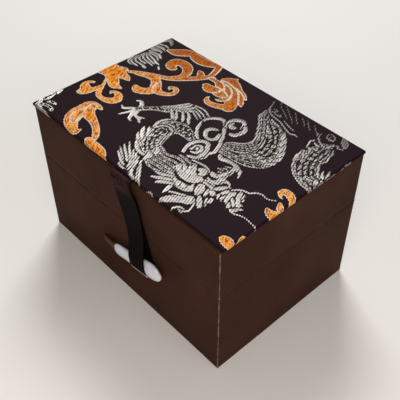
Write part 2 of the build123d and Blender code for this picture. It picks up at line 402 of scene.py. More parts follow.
for body, cover_node in (("base", "base_wrap"), ("lid", "lid_wrap")):
    low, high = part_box(cover_node)
    core = add_block(
        body + "_cut_end",
        (high.x - 0.36 * mm, low.y - 0.02 * mm, low.z + 0.25 * mm),
        (high.x + 0.03 * mm, low.y + 0.3 * mm, high.z - 0.25 * mm),
    )
    cut_across(core, (0, 0, low.z), (0, 0, high.z), 0.8 * mm)
    bpy.ops.object.mode_set(mode="OBJECT")
    softened = core.modifiers.new("soft_edges", "BEVEL")
    softened.width = 0.08 * mm
    softened.segments = 2
    softened.limit_method = "ANGLE"
    ripple(core, 2.5 * mm, 0.12 * mm)
    apply_modifiers(core)
    smooth(core, 50)
    core.data.materials.append(paper_core)
    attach(core, body)

# Sole
# A sheet of dark brown paper, glued under the base between the covering's margins,
# with a laid texture and slightly rounded corners.
low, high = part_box("base_sole")
sole = add_block("sole", (low.x, low.y, 0.05 * mm), (high.x, high.y, 0.35 * mm))
select_parts(sole, edges=lambda e: abs(e.verts[0].co.z - e.verts[1].co.z) > 0.2 * mm)
bpy.ops.mesh.bevel(offset=1.2 * mm, segments=4)
cut_across(sole, (low.x, low.y, 0), (high.x, high.y, 0), 5 * mm)
bpy.ops.object.mode_set(mode="OBJECT")
ripple(sole, 15 * mm, 0.04 * mm)
apply_modifiers(sole)
smooth(sole, 35)
sole_paper, tree, surface = start_material("dark brown laid paper", "#2a1f1a", Roughness=0.92)
place = add_node(tree, "ShaderNodeTexCoord").outputs["Object"]
# Laid lines 2 mm apart, and fibres of 1.4 mm
laid_lines = add_node(
    tree, "ShaderNodeTexWave", {"Vector": place, "Scale": 160, "Distortion": 1.5, "Detail": 3}
)
fibres = add_node(tree, "ShaderNodeTexNoise", {"Vector": place, "Scale": 700, "Detail": 6})
fibre_tint = add_node(
    tree, "ShaderNodeValToRGB", {"Fac": fibres}, ramp=[(0, "#211813"), (1, "#382a23")]
)
laid_bump = add_node(
    tree,
    "ShaderNodeBump",
    {"Height": laid_lines.outputs["Fac"], "Strength": 0.3, "Distance": 0.05 * mm},
)
set_inputs(surface, {"Base Color": fibre_tint, "Normal": laid_bump})
sole.data.materials.append(sole_paper)
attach(sole, "base")
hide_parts("base_sole")

# Linings
# Thin cards covered in golden yellow satin, pushed in against the walls of the base and
# the lid. The satin is pulled round each card, so its edges are rounded.
lining_satin, tree, surface = start_material(
    "golden yellow satin", "#dba63a", Roughness=0.42, Sheen_Weight=0.35, Sheen_Roughness=0.4
)
place = add_node(tree, "ShaderNodeTexCoord").outputs["Object"]
# Floats 1.4 mm long, soft folds 17 mm apart, and a weft stripe of 0.45 mm, which is
# coarser than the real thread so that it shows
stretch = add_node(tree, "ShaderNodeMapping", {"Vector": place, "Scale": (1, 1, 6)})
floats = add_node(tree, "ShaderNodeTexNoise", {"Vector": stretch, "Scale": 700, "Detail": 3})
satin_tint = add_node(
    tree, "ShaderNodeValToRGB", {"Fac": floats}, ramp=[(0.25, "#cb9631"), (0.75, "#e4b34b")]
)
weft = add_node(
    tree,
    "ShaderNodeTexWave",
    {"Vector": place, "Scale": 700, "Distortion": 0.6, "Detail": 1},
    bands_direction="DIAGONAL",
).outputs["Fac"]
folds = add_node(tree, "ShaderNodeTexNoise", {"Vector": place, "Scale": 60, "Detail": 2})
fold_bump = add_node(
    tree, "ShaderNodeBump", {"Height": folds, "Strength": 0.22, "Distance": 1.2 * mm}
)
weft_bump = add_node(
    tree,
    "ShaderNodeBump",
    {"Height": weft, "Strength": 0.25, "Distance": 0.04 * mm, "Normal": fold_bump},
)
sheen = to_linear("#ffe9b0")
set_inputs(surface, {"Base Color": satin_tint, "Normal": weft_bump, "Sheen Tint": sheen})

for body in ("base", "lid"):
    for side in sides:
        lining_node = body + "_lining_" + side
        low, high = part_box(lining_node)
        card = add_block(lining_node + "_satin", low, high)
        bpy.ops.mesh.select_all(action="SELECT")
        bpy.ops.mesh.bevel(offset=0.3 * mm, segments=3)
        cut_across(card, low, high, 3 * mm)
        bpy.ops.object.mode_set(mode="OBJECT")
        ripple(card, 9 * mm, 0.06 * mm)
        apply_modifiers(card)
        smooth(card, 40)
        card.data.materials.append(lining_satin)
        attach(card, body)
        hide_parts(lining_node)


# Cushions
# Cotton wadding with the same satin drawn over it and tucked down between the pad and
# the walls. One lies in the base and a thinner one is glued under the lid's top board.
def stuff_cushion(name, body, cover_node, pad_node, up):
    """Blows up a soft block until the satin is tight, and keeps it within its place."""
    low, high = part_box(cover_node)
    smaller_low = low + Vector((0.5, 0.5, 0.3)) * mm
    smaller_high = high - Vector((0.5, 0.5, 0.9)) * mm
    cushion = add_block(name, smaller_low, smaller_high)
    bpy.ops.mesh.select_all(action="SELECT")
    bpy.ops.mesh.bevel(offset=1.1 * mm, segments=3)
    bpy.ops.object.mode_set(mode="OBJECT")
    cloth_grid = cushion.modifiers.new("cloth_grid", "REMESH")
    cloth_grid.mode = "VOXEL"
    cloth_grid.voxel_size = 1.1 * mm
    apply_modifiers(cushion)
    start = get_points(cushion)
    blown = cushion.modifiers.new("blown", "CLOTH")
    blown.settings.use_pressure = True
    blown.settings.uniform_pressure_force = 4
    blown.settings.effector_weights.gravity = 0
    for step in range(1, 21):
        bpy.context.scene.frame_set(step)
    swollen = cushion.evaluated_get(bpy.context.evaluated_depsgraph_get()).data
    moved = np.array([v.co for v in swollen.vertices]) - start
    cushion.modifiers.remove(blown)
    bpy.context.scene.frame_set(1)
    reach = np.linalg.norm(moved, axis=1, keepdims=True)
    farthest = 1.4 * mm
    moved *= np.minimum(1, farthest / np.maximum(reach, 1e-9))
    start = start + moved
    # Shallow pulls in the satin near its tucked edges, and a low crown in the middle
    crown_height = 0.5 * mm
    pull_depth = 0.09 * mm
    across_x = start[:, 0] / (high.x - low.x) * 2
    across_y = (start[:, 1] - (low.y + high.y) / 2) / (high.y - low.y) * 2
    inner = np.clip(1 - across_x**2, 0, 1) * np.clip(1 - across_y**2, 0, 1)
    top_side = (start[:, 2] - (low.z + high.z) / 2) * up > 0
    edge_share = np.clip(1 - inner * 2.2, 0, 1) * top_side
    pulls = np.sin(start[:, 0] / mm * 1.35 + np.sin(start[:, 1] / mm * 0.4) * 1.5)
    pulls += np.sin(start[:, 1] / mm * 1.5 + np.sin(start[:, 0] / mm * 0.3) * 1.5)
    start[:, 2] += up * (crown_height * inner * top_side + pull_depth * pulls * edge_share)
    highest = np.array(high) + np.array([0, 0, 0.2 * mm])
    set_points(cushion, np.clip(start, np.array(low) + 0.05 * mm, highest))
    rounder = cushion.modifiers.new("rounder", "SUBSURF")
    rounder.levels = rounder.render_levels = 1
    apply_modifiers(cushion)
    bpy.ops.object.shade_smooth()
    cushion.data.materials.append(lining_satin)
    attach(cushion, body)
    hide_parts(cover_node, pad_node)


stuff_cushion("base_cushion", "base", "base_cushion_cover", "base_cushion_pad", 1)
stuff_cushion("lid_cushion", "lid", "lid_cushion_cover", "lid_cushion_pad", -1)

# Hinge cloth
# A strip of the same leatherette on a cloth backing, glued over the back across the
# seam. It is the box's only hinge, with the tape inside.
low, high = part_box("hinge_cloth")
hinge_z = (low.z + high.z) / 2
hinge_strip = add_block(
    "hinge_strip",
    (low.x + 0.4 * mm, low.y + 0.02 * mm, low.z),
    (high.x - 0.4 * mm, high.y, high.z),
)
select_parts(hinge_strip, edges=lambda e: abs(e.verts[0].co.y - e.verts[1].co.y) > 0.2 * mm)
bpy.ops.mesh.bevel(offset=0.8 * mm, segments=3)
select_parts(hinge_strip, edges=lambda e: all(abs(v.co.y - high.y) < 1e-6 for v in e.verts))
bpy.ops.mesh.bevel(offset=0.15 * mm, segments=2)
cut_across(hinge_strip, low, high, 1 * mm)
bpy.ops.object.mode_set(mode="OBJECT")
ripple(hinge_strip, 12 * mm, 0.06 * mm)
apply_modifiers(hinge_strip)
smooth(hinge_strip, 40)
mark_worn_edges(hinge_strip, low, high)
hinge_strip.data.materials.append(leatherette)
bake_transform(hinge_strip)
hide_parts("hinge_cloth")

# Hinge tape
# A satin tape inside the back, glued to the linings of the base and the lid. It has a
# fold of slack at the seam, which pulls tight and stops the lid just past upright.
low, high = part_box("hinge_tape")
tape = add_block("inside_tape", (low.x, high.y - 0.3 * mm, low.z), (high.x, high.y, high.z))
cut_across(tape, (low.x, 0, low.z), (high.x, 0, high.z), 0.6 * mm)
bpy.ops.object.mode_set(mode="OBJECT")
points = get_points(tape)
from_seam = (points[:, 2] - hinge_z) / mm
slack = 2.4 * mm
unevenness = 0.05 * mm * (1 + np.sin(points[:, 0] / mm * 0.7 + from_seam))
points[:, 1] -= slack * np.exp(-((from_seam / 1.25) ** 2))
points[:, 1] -= unevenness * np.exp(-((from_seam / 4) ** 2))
set_points(tape, points)
smooth(tape, 60)
tape.data.materials.append(lining_satin)
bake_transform(tape)
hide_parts("hinge_tape")

# Brocade panel
# Silk brocade drawn over a card with thin wadding and glued on the lid. Its ground is
# an aubergine satin, and silver and orange metallic wefts float over it in a dragon
# among clouds and scrolling leaves. Each motif is drawn here as strokes,
# in millimetres on the cloth: x, y and half width at each point.
strokes = []
JOINED = -9.0  # the gap of a stroke that grows into the one below it
NO_ROW = 0.5  # the row and cut of a place without dark lines between its threads


def silver(*paths, filling="plain", pitch=1.0, slant=0.0, gap=0.5):
    """Strokes of silver weft, with dark lines between their threads as their filling."""
    for points in paths:
        strokes.append(("silver", filling, pitch, slant, gap, np.array(points, float)))


def orange(*paths, gap=0.5):
    """Strokes of orange weft, with their threads running along them."""
    for points in paths:
        strokes.append(("orange", "hair", 0.95, 0.0, gap, np.array(points, float)))


def bare(*paths):
    """Dark lines where no weft floats and the ground shows, between parts of a figure."""
    for points in paths:
        strokes.append(("ground", "plain", 1.0, 0.0, 0.0, np.array(points, float)))


# fan of a tail at the left edge
silver(
    [(-52, 27.6, .9), (-50.6, 29.8, 1.1), (-49.6, 31.8, 1), (-47.6, 31, .9), (-45.6, 29.4, .4)],
    [(-52.4, 26.4, .8), (-49, 27, .6), (-46.6, 27.6, .6), (-44.8, 27, .3)],
    [(-52.4, 24.8, 1), (-49, 24.8, 1.1), (-46.4, 25.4, .8), (-43.8, 24.6, .4)],
    [(-52, 22.6, 1), (-48.4, 22.6, 1.2), (-45.6, 23.2, .7), (-43.8, 22.6, .3)],
    [(-48.6, 20.4, .7), (-46, 20.6, .8), (-43.4, 21, .6), (-40.8, 19.6, .3)],
    gap=0.3,
)
silver(
    [(-47.6, 19.4, .5), (-45, 19.6, .5), (-42.4, 19.2, .5), (-40.6, 17.8, .3)],
    [(-48, 18.8, .4), (-45.4, 18, .5), (-42.2, 17.2, .5), (-39.8, 16.4, .5), (-38, 16.2, .3)],
    [(-48.4, 18.4, .4), (-45.8, 16.6, .5), (-42.6, 15.7, .5), (-40, 15.3, .4)],
    [(-48.8, 17.6, .4), (-46.6, 15.2, .5), (-43.8, 14.4, .5), (-41.2, 14.2, .5),
     (-39.4, 13.8, .3)],
    [(-49, 16.4, .4), (-47.4, 13.8, .5), (-44.8, 12.9, .5), (-42.2, 13, .4)],
    [(-49.2, 15, .4), (-48, 12.4, .5), (-45.8, 11.2, .5), (-43, 11.4, .5), (-40.6, 10.8, .8)],
    [(-49.4, 13.8, .4), (-48.8, 11, .5), (-46.8, 9.8, .5), (-43.6, 9.4, .5)],
    [(-50, 13, .4), (-49.6, 10.4, .5), (-48, 8.8, .5), (-45.8, 8.5, .4)],
    gap=0.25,
)
silver([(-37, 15, .5), (-35.4, 14, .4)])

# orange scroll at the left: its stem, and the big spiral on it
orange([(-27.6, 13.4, 1.2), (-25.4, 16.6, 1.5), (-26, 20.2, 2), (-28.4, 22.8, 2.2),
        (-31.6, 23.6, 2.3), (-34.6, 22.4, 2.5), (-34.6, 19.8, 2.4), (-32.8, 18.5, 1.8),
        (-31.4, 18.7, 1)])
orange(
    [(-43.6, 3.6, .9), (-41.7, 5, .9), (-37.8, 7.4, 1.2), (-33.3, 9.9, 1.2), (-27.6, 12.8, 1.3),
     (-23.5, 16.8, 1.4), (-20, 21.4, 1.4), (-18, 24.6, 1.3), (-16, 25.4, .9)],
    [(-23.4, 24.6, .8), (-22, 24, 1.4), (-20.6, 22.6, 1.6), (-19.8, 20.8, 1)],
    [(-20.6, 32.4, 1.5), (-19, 29, 1.3), (-18.1, 25.6, 1.2)],
    gap=JOINED,
)
# rust leaves at the back edge
orange([(-43.4, 26, 1), (-40, 27.4, 2.4), (-37.4, 29.8, 2.6), (-34.6, 31.6, 1.8)])
orange([(-35, 32, 1.6), (-32, 30.6, 2.4), (-28, 30.4, 2.7), (-24.4, 31.4, 2.3), (-21, 33.6, 1.6)],
       gap=JOINED)
# big curled leaf in the middle of the back: its petals from the outermost inwards
orange([(-12.8, 27.4, 1.1), (-10.6, 29.2, 1.8), (-7.4, 28.6, 1.9), (-3.6, 26.6, 1.6),
        (-.4, 25.6, 1.3), (2.2, 24.4, .5)])
orange([(-9.4, 31.6, .6), (-9.8, 30, 1.4)], gap=JOINED)
orange(
    [(-5, 26, 1), (-1, 23.6, 2), (2, 21.6, 1.5), (4, 20.2, .5)],
    [(-12.4, 26, .8), (-8.4, 25.8, 1.3), (-4.2, 24, 1.9), (-1.2, 20.6, 2.4), (1, 17.6, 2.6),
     (1.8, 15.9, 2.1), (-.4, 15, 1.6), (-3, 13.6, 1.5), (-6, 13, 1.3), (-8, 14, .9),
     (-8.5, 15.6, .4)],
    gap=0,
)
orange([(2.6, 17.2, 1.2), (3.4, 15.8, .7)], gap=JOINED)
orange(
    [(-9.6, 25, .8), (-7, 23.8, 1.5), (-4.8, 21.6, 1.7), (-3.4, 18.8, 1.3), (-4.4, 16.9, .8),
     (-5.6, 16.4, .3)],
    [(-16.8, 24.5, .9), (-13.6, 24.7, 1.2), (-11, 23.6, 1.7), (-8.8, 21.2, 2)],
    [(-9.4, 20.2, 2.2), (-6.8, 19.9, 2), (-4.8, 20.3, 1)],
    [(-14.6, 20, 1.5), (-12.2, 19.4, 2.4), (-10, 20.4, 1.9)],
    gap=0,
)

# middle leaf with its two curls
orange([(-38.9, 6, 1), (-34.4, 8.2, 1.7), (-31, 8.4, 1.9), (-27.8, 6.2, 2.2), (-26.2, 3.4, 2.3),
        (-27.2, .9, 2), (-30.2, -.9, 2), (-32.6, -.2, 1.1)], gap=JOINED)
orange([(-27.4, 7.4, 1), (-25.6, 4.8, 1.7), (-23.6, 3.8, 1.6), (-21, 4.8, 1.2), (-19.2, 6.6, 1.1),
        (-19.3, 8.9, 1.1), (-21, 10, 1), (-22.8, 9, .8), (-22, 7.9, .3)], gap=0)
# left-edge leaf
orange([(-51, -.4, 4.6), (-48, 0, 4.2), (-45.4, .8, 3.5), (-42.4, .9, 2.3), (-39.8, 1, 1.6),
        (-37.8, .6, .6)])
orange(
    [(-46.6, 3.8, 1.1), (-44.6, 4.3, 1.3)],
    [(-46, -2, 2.4), (-43, -3, 2.4), (-40.4, -4.6, 2.3), (-38.4, -5.6, 1.8), (-36.8, -5.2, 1.1),
     (-35, -5, .4)],
    gap=JOINED,
)
# two curls below it
orange(
    [(-44.8, -4.4, .6), (-43, -6.8, .6), (-41.4, -9.2, .9), (-39.6, -12, 1.1),
     (-37.4, -13.8, 1.1), (-34.4, -14, 1.2), (-31.6, -12.8, 1.8), (-30.4, -10.8, 1.9),
     (-31.8, -8.8, 1.6), (-34, -8, 1), (-35.8, -8.8, .8), (-35.2, -9.8, .4)],
    [(-41.8, -9.6, .7), (-42, -13, 1.4), (-43.4, -15.8, 2.3), (-44.2, -17.6, 1.3)],
    [(-44.4, -14.8, 2.2), (-46.8, -13.4, 1.6), (-47.1, -11.2, .9), (-46, -10, .7),
     (-45.2, -10.1, .3)],
    gap=JOINED,
)
# front-left leaf, its stem, and the leaf that it ends in at the front edge
orange([(-29.2, -18.4, .5), (-31.4, -18.4, 1.3), (-34.4, -20, 2.4), (-34.6, -23.6, 2.5),
        (-33.6, -27, 3.2), (-31.4, -30.4, 2.8), (-28, -32.4, 2), (-25.2, -33, 1.4),
        (-24.9, -31, .5)])
orange(
    [(-33, -19.6, 1.4), (-31.8, -21.6, 1.9), (-30.2, -23.6, 2.3), (-27.6, -24.3, 1.9),
     (-24.4, -25.3, 1.5), (-21.2, -26.9, 1.4), (-18.4, -29.2, 1.3), (-16.8, -31, .9)],
    [(-33.6, -24.6, 1.3), (-32.8, -27.4, 1.6), (-30.8, -30, 1.1)],
    [(-18.4, -32.2, 1.4), (-16.6, -32.9, 1.9), (-13.4, -32.8, 2), (-9.8, -33.4, 1.9),
     (-6.6, -35, .9)],
    gap=0,
)
# right-edge orange
orange(
    [(52.8, -6.8, .8), (51.4, -4.4, 1.1), (49.8, -2.8, 1.3), (47.8, -1.9, 1.5), (46, -1.9, 1.4),
     (45.4, -3.2, 1.1), (46.4, -4.5, .6), (47.2, -4.9, .3)],
    [(48.4, -7, .6), (49.4, -8, 1.1), (51, -9.4, 1.4), (53, -11, 1.8)],
)
orange([(47.4, -11.8, .7), (48.6, -12.3, 1.3), (50.2, -12.4, 1.9), (51.6, -11.8, 2.3),
        (53, -11.4, 2.3)], gap=0)
orange(
    [(47.1, -30.4, 1.3), (48.5, -30.4, 1.9), (49.8, -30.7, 1.8), (50.7, -31.1, 1.2)],
    [(51, -25.4, .7), (51.3, -26.6, 1.1), (52.4, -28.2, 1)],
)

# upper body: belly plates and belly line on the left, scales, then the flames of its back
silver([(12.6, 25, 1), (14.6, 21.4, 1.8), (18.6, 16.8, 2.4), (21.8, 12.8, 2.7), (24, 8.8, 3),
        (22.6, 4.6, 3), (18.4, 1.4, 2.2), (15.6, -.2, 1)], filling="band", pitch=1.15)
silver([(17.4, 21.6, 1), (21.6, 19, 2.6), (25.6, 15.6, 3.6), (28.4, 11.2, 4), (29.4, 6.4, 4),
        (28.2, 2, 3.4), (25.4, -.6, 2.4)], filling="band", pitch=2.05)
silver(
    [(12, 24, .35), (12.7, 20.8, .35), (15.5, 17.8, .35), (18.2, 14.4, .35), (20.6, 10.6, .35),
     (21, 7.6, .35), (19.6, 5.2, .35), (17.3, 3.4, .35), (15.7, 1.6, .3)],
    [(25.4, 20.6, .2), (26.5, 18.6, .8), (27.3, 16.8, .5)],
    [(28, 18.6, .2), (28.9, 16, .9), (29.4, 14, .5)],
    [(30.2, 16, .2), (31, 13.2, .9), (31.3, 11.4, .5)],
    [(32.3, 13, .2), (32.8, 10.4, .9), (32.6, 8.8, .5)],
    [(33.8, 10, .2), (33.8, 7.6, .8), (33.2, 6, .5)],
    [(34.6, 6.6, .2), (33.8, 4.6, .8), (32.6, 3.2, .5)],
    [(34.2, 3.4, .2), (32.8, 1.8, .7), (31, .8, .4)],
    gap=0.3,
)
silver([(16.6, -1.9, .6), (20, -1.7, .7), (24, -1, .8), (27.6, .6, 1), (29.6, 2.2, .7)],
       filling="hatch", pitch=1.4, slant=0.5, gap=0.35)
silver([(17.4, -3.3, .6), (20.6, -3, .6), (24.6, -2.6, .8), (28.4, -1.6, .9), (31.4, .3, .8),
        (33.6, 1.6, .3)], filling="hatch", pitch=1.6, slant=0.5, gap=0.35)
# long thin fins at the back edge
silver([(10, 31.6, .25), (11.4, 28.6, .35), (12.4, 26.6, .4), (14.4, 25, .35), (17, 24.3, .35),
        (20, 23.8, .35), (22.4, 22.9, .35), (24.6, 22, .35), (27, 21.4, .35), (28.4, 22, .35),
        (30, 21.8, .25)])
silver(
    [(13.4, 28, .25), (14.7, 28.2, .3), (15, 27, .3), (13.8, 26.3, .25)],
    [(15.4, 26.1, .3), (16.8, 26, .35), (18.2, 26.3, .35), (17, 27.1, .25)],
    [(20.4, 25.4, .25), (22.6, 24.6, .32), (24.6, 24, .3), (26.8, 23.6, .22)],
    [(17, 22.8, .35), (18.8, 22, .45), (21.4, 21.6, .45)],
    gap=0.25,
)
silver(
    [(12, 33.4, .16), (14.6, 30.6, .2), (18, 28.6, .22), (20.6, 27, .16)],
    [(15, 33, .16), (18.4, 30.4, .2), (21.6, 28.2, .22), (23.4, 26.6, .14)],
    [(19.6, 32.6, .16), (22.6, 29.6, .22), (25, 27.6, .16)],
    [(23.6, 31.8, .18), (26.4, 29.6, .25), (27.8, 28, .18)],
    [(26.2, 32, .18), (28.4, 29.6, .25), (30.6, 28, .18)],
    [(29.6, 31.6, .18), (31.6, 29.8, .22), (32.8, 28.6, .16)],
    gap=0.2,
)
# second dragon at the right: body, its two outlines, the fringe of its back, and its fins
silver([(39.8, 25, 1.6), (40.4, 22, 3.2), (40.6, 18, 3.8), (41.4, 14, 4), (43.6, 10.4, 3.8),
        (46.8, 7.8, 2.9), (53, 6.6, 2.3)], filling="band", pitch=1.9)
silver([(36, 18, .3), (36.4, 14.4, .4), (37.6, 11.4, .35), (39.2, 9, .35), (41.6, 6.8, .35),
        (44.4, 5.3, .35), (47, 4.5, .4), (50, 4.2, .4), (53, 3.8, .35)], gap=0.3)
silver([(43.3, 25.4, .3), (44.3, 23.4, .35), (44.6, 21, .35), (45.2, 19.2, .35), (44.6, 17, .35),
        (45.6, 14.8, .4), (47, 12.8, .4), (48.6, 11.2, .5), (50, 11.6, .4)], gap=0.35)
silver([(35.2, 25, .4), (34.4, 23.6, .45), (34.9, 22.2, .4), (35.4, 20.6, .3)], gap=0.3)
silver([(36, 23.9, .4), (37.8, 23.4, .6)], gap=0.25)
silver(
    [(35.9, 20, .3), (37, 20.4, .4), (38, 18.6, .4)],
    [(36, 18.2, .3), (37.4, 16.6, .4), (38.6, 14.8, .3)],
    [(33.2, 28.8, .4), (34.9, 27.4, .45), (36.6, 25.8, .45), (38.4, 24.9, .4), (40.8, 24.7, .5),
     (42, 26.2, .4)],
    gap=0.3,
)
silver([(34.6, 29.6, .3), (35, 27.6, .3)], gap=0.2)
silver([(40.8, 25, .5), (41, 27, .7), (41.8, 28, .5)], gap=0.25)
silver([(39.6, 29.4, .6), (38.2, 28.9, .45), (36.8, 29.6, .3), (36.4, 31, .25), (37.4, 31.9, .25),
        (38.8, 31.4, .35), (39.8, 30.4, .45)], gap=0.3)
silver([(38, 30.4, .3), (38.2, 29.8, .25)], gap=0.2)
silver([(41.4, 33.4, .7), (43.2, 31.6, 1.3), (44.2, 30, 1.1), (44.8, 28.8, .4)], gap=0.3)
bare([(41.8, 30.4, .1), (43.2, 29.6, .16), (44.4, 28.6, .1)])
silver([(42.6, 28.4, .5), (43.6, 27.5, .5), (45.2, 28.2, .3)], gap=0.25)
silver(
    [(47.7, 14.6, .3), (48.6, 13, .6), (49.6, 11.8, .5)],
    [(49.4, 16.2, .3), (50, 14.4, .6), (50.6, 12.6, .5)],
    [(51.2, 17, .3), (51.7, 14.6, .6), (51.6, 12.4, .5)],
    gap=0.3,
)
silver([(49, 9.6, .7), (49.8, 8.4, .9)], gap=0.35)
silver([(46.4, 8, .5), (47.8, 8.2, .6)], gap=0.3)
silver([(50.9, 10.6, .7), (51.8, 9, .9)], gap=0.35)
silver(
    [(51.1, 25.4, .4), (50.9, 22.6, .4)],
    [(51.2, 21.4, .35), (51.8, 19.6, .45), (52, 17.8, .35)],
)

# haunch, a fan of strands, and foreleg with the claw
silver(
    [(-15.4, -1, .4), (-13, 1.6, .6), (-11.4, 4.4, .7), (-10.2, 7.4, .4)],
    [(-14, -.6, .4), (-11.6, 1.6, .6), (-9.8, 4.6, .7), (-8.8, 7.6, .5)],
    [(-12, .2, .4), (-9.8, 2, .6), (-8, 4.8, .7), (-6.8, 7.4, .5)],
    [(-9.4, 1.6, .4), (-7.6, 3.2, .6), (-6, 5.2, .6), (-5, 6.8, .3)],
    gap=0.3,
)
silver(
    [(-7.6, 8.2, .35), (-4, 8.8, .35), (-1, 8, .35), (1.2, 6.9, .25)],
    [(-6, 7.2, .3), (-3, 6.9, .35), (-.6, 6, .3), (.4, 5.4, .2)],
    [(-5.4, 6, .3), (-2.8, 5.4, .35), (-.6, 4.4, .25)],
    [(-5, 4.8, .3), (-3, 4, .35), (-1, 3.1, .25)],
    gap=0.25,
)
silver(
    [(-6.4, 3.4, .4), (-4.4, 2.2, .6), (-2.6, .2, .6), (-1, -1, .4)],
    [(-8.4, 2.6, .3), (-6.6, 1.2, .5), (-4.6, -.6, .6), (-3.4, -2.2, .4)],
    [(-10.6, 1.6, .3), (-8.6, -.2, .5), (-6.6, -2.2, .6), (-5.8, -3.8, .4)],
    [(-12.4, .6, .3), (-10.4, -.8, .6), (-8, -2.6, .6), (-6.6, -4.2, .3)],
    gap=0.3,
)
silver([(-12.4, -1.6, 1.1), (-15.4, -3, 1.3), (-17.8, -5.2, 1.1), (-20.2, -8, 1.2)],
       filling="hatch", pitch=1.4, slant=0.7, gap=0.25)
silver(
    [(-20.6, -7.4, .8), (-21.8, -5.6, .8), (-23.4, -4.7, .7), (-25, -5.6, .25)],
    [(-21, -8.8, .8), (-22.8, -10.2, .65), (-24.6, -12, .6), (-26.3, -11.4, .25)],
    [(-20.8, -9.6, .8), (-21.6, -12.6, .6), (-22.8, -15.4, .3)],
    [(-20.2, -9.4, 1), (-19.4, -12.4, .8), (-18.1, -14.4, .6), (-16.7, -15, .25)],
    [(-19.8, -9.2, .8), (-18.2, -11.6, .6), (-15.6, -12, .7), (-13.8, -13.4, .3)],
    [(-16.4, -11.6, .5), (-14.6, -10.6, .3)],
    gap=JOINED,
)

# body loop: scales where it curls, and bands under the strings of beads that run to the head
silver([(6, -5.8, 1.5), (2.4, -5, 2.4), (-1.6, -5, 3.2), (-4.2, -8, 4.1), (-4.4, -11.6, 4.3)],
       filling="scale", pitch=1.9)
silver([(-4.2, -10.8, 4), (-3.6, -14.4, 4.1), (-1.6, -17.6, 3.8), (1.6, -20, 3.3)],
       filling="band", pitch=1.6)
silver([(-1, -12.2, .3), (-.2, -14.4, .35), (1.4, -16.2, .4), (3.4, -16.6, .45), (5.4, -17.4, .5),
        (7.6, -17.1, .5), (9.6, -16.2, .55), (12, -16, .55), (14.4, -16.6, .55), (17, -17, .5)],
       filling="hatch", pitch=1.15, slant=0.5, gap=0.35)
silver(
    [(9.6, -14.6, .3), (11.6, -14.4, .5), (13.6, -14.6, .5), (16.8, -15.3, .5)],
    [(4, -18.6, .4), (6.6, -19, .5), (9, -18.6, .55), (11.4, -18.1, .55), (14, -18.6, .6),
     (17, -19, .6)],
    [(3.4, -20.2, .5), (6, -20.6, .6), (9, -20.2, .55), (12, -20, .6), (15, -20.4, .6)],
    [(3.2, -22.2, .7), (5.4, -22.2, .6), (8.4, -21.9, .6), (11.4, -21.8, .6), (14.4, -21.9, .5)],
    [(3.4, -23.9, .5), (5.4, -24, .6), (8, -23.6, .6), (10.6, -23.5, .6), (13.4, -23.4, .5)],
    [(4.2, -25, .4), (6, -25.5, .5), (8.8, -25.5, .5), (11, -25.2, .6), (13, -24.6, .5)],
    filling="hatch", pitch=1.15, slant=0.5, gap=0.3,
)
silver(
    [(1.4, -17.6, .5), (2.8, -18.6, .9), (3.2, -20, .6)],
    [(1.4, -21.4, .6), (2.8, -22.2, 1), (2.8, -24, .6), (3.2, -25, .3)],
    gap=0.3,
)
# pointed flames along the loop's outer side
silver([(-7.4, -3.6, .25), (-8.6, -5.4, .5), (-9.4, -8, .5), (-8.6, -10.8, .4)], gap=0.25)
silver(
    [(-9.4, -12.2, .25), (-7.8, -13.6, .8), (-6.2, -15.8, .5)],
    [(-10.6, -13.4, .25), (-9.4, -15.2, .75), (-7.4, -17.4, .8), (-5.8, -18.8, .5)],
    [(-9.9, -17, .25), (-8, -18.6, .6), (-5.8, -20.2, .6), (-3.4, -21, .4)],
    [(-6.6, -20.2, .25), (-4.6, -21.9, .7), (-2, -23.2, .7), (1, -23.4, .5)],
    gap=0.3,
)
# tail hair at the front edge
silver(
    [(-7.6, -22.5, .2), (-5, -24.7, .4), (-2, -26.7, .45), (.4, -29, .5)],
    [(-8.3, -24.3, .2), (-6, -25.9, .45), (-3, -27.6, .45), (-.4, -29.4, .4)],
    [(-7.7, -26.5, .2), (-5.2, -28, .4), (-3, -29.3, .4), (-.8, -30.8, .35)],
    [(-6.4, -28.5, .25), (-4, -29.7, .45), (-1.4, -31, .45), (.6, -31.4, .3)],
    [(-1.6, -32.1, .35), (.4, -32.6, .45), (2.2, -32.5, .3)],
    [(-3.4, -24.2, .25), (-1, -26.2, .45), (1, -28.8, .5), (1.9, -31.4, .35)],
    [(-1.6, -24.3, .25), (.6, -26.6, .5), (2.5, -29.4, .5), (3.2, -32, .35)],
    [(.6, -25.2, .3), (2.6, -27.8, .5), (3.9, -30.2, .5), (5, -32.8, .4)],
    [(4.2, -30.6, .4), (5.8, -32.6, .7), (7.8, -33.4, .6)],
    [(3, -25.8, .35), (5.2, -28.8, .5), (7.4, -31.2, .5), (9.6, -33.4, .4)],
    [(4.4, -27.2, .25), (7, -29.8, .4), (9.4, -32.2, .4), (11.6, -34, .3)],
    gap=0.25,
)
silver([(15.6, -34.2, .25), (17, -33.6, .4), (18.6, -34.1, .25)])

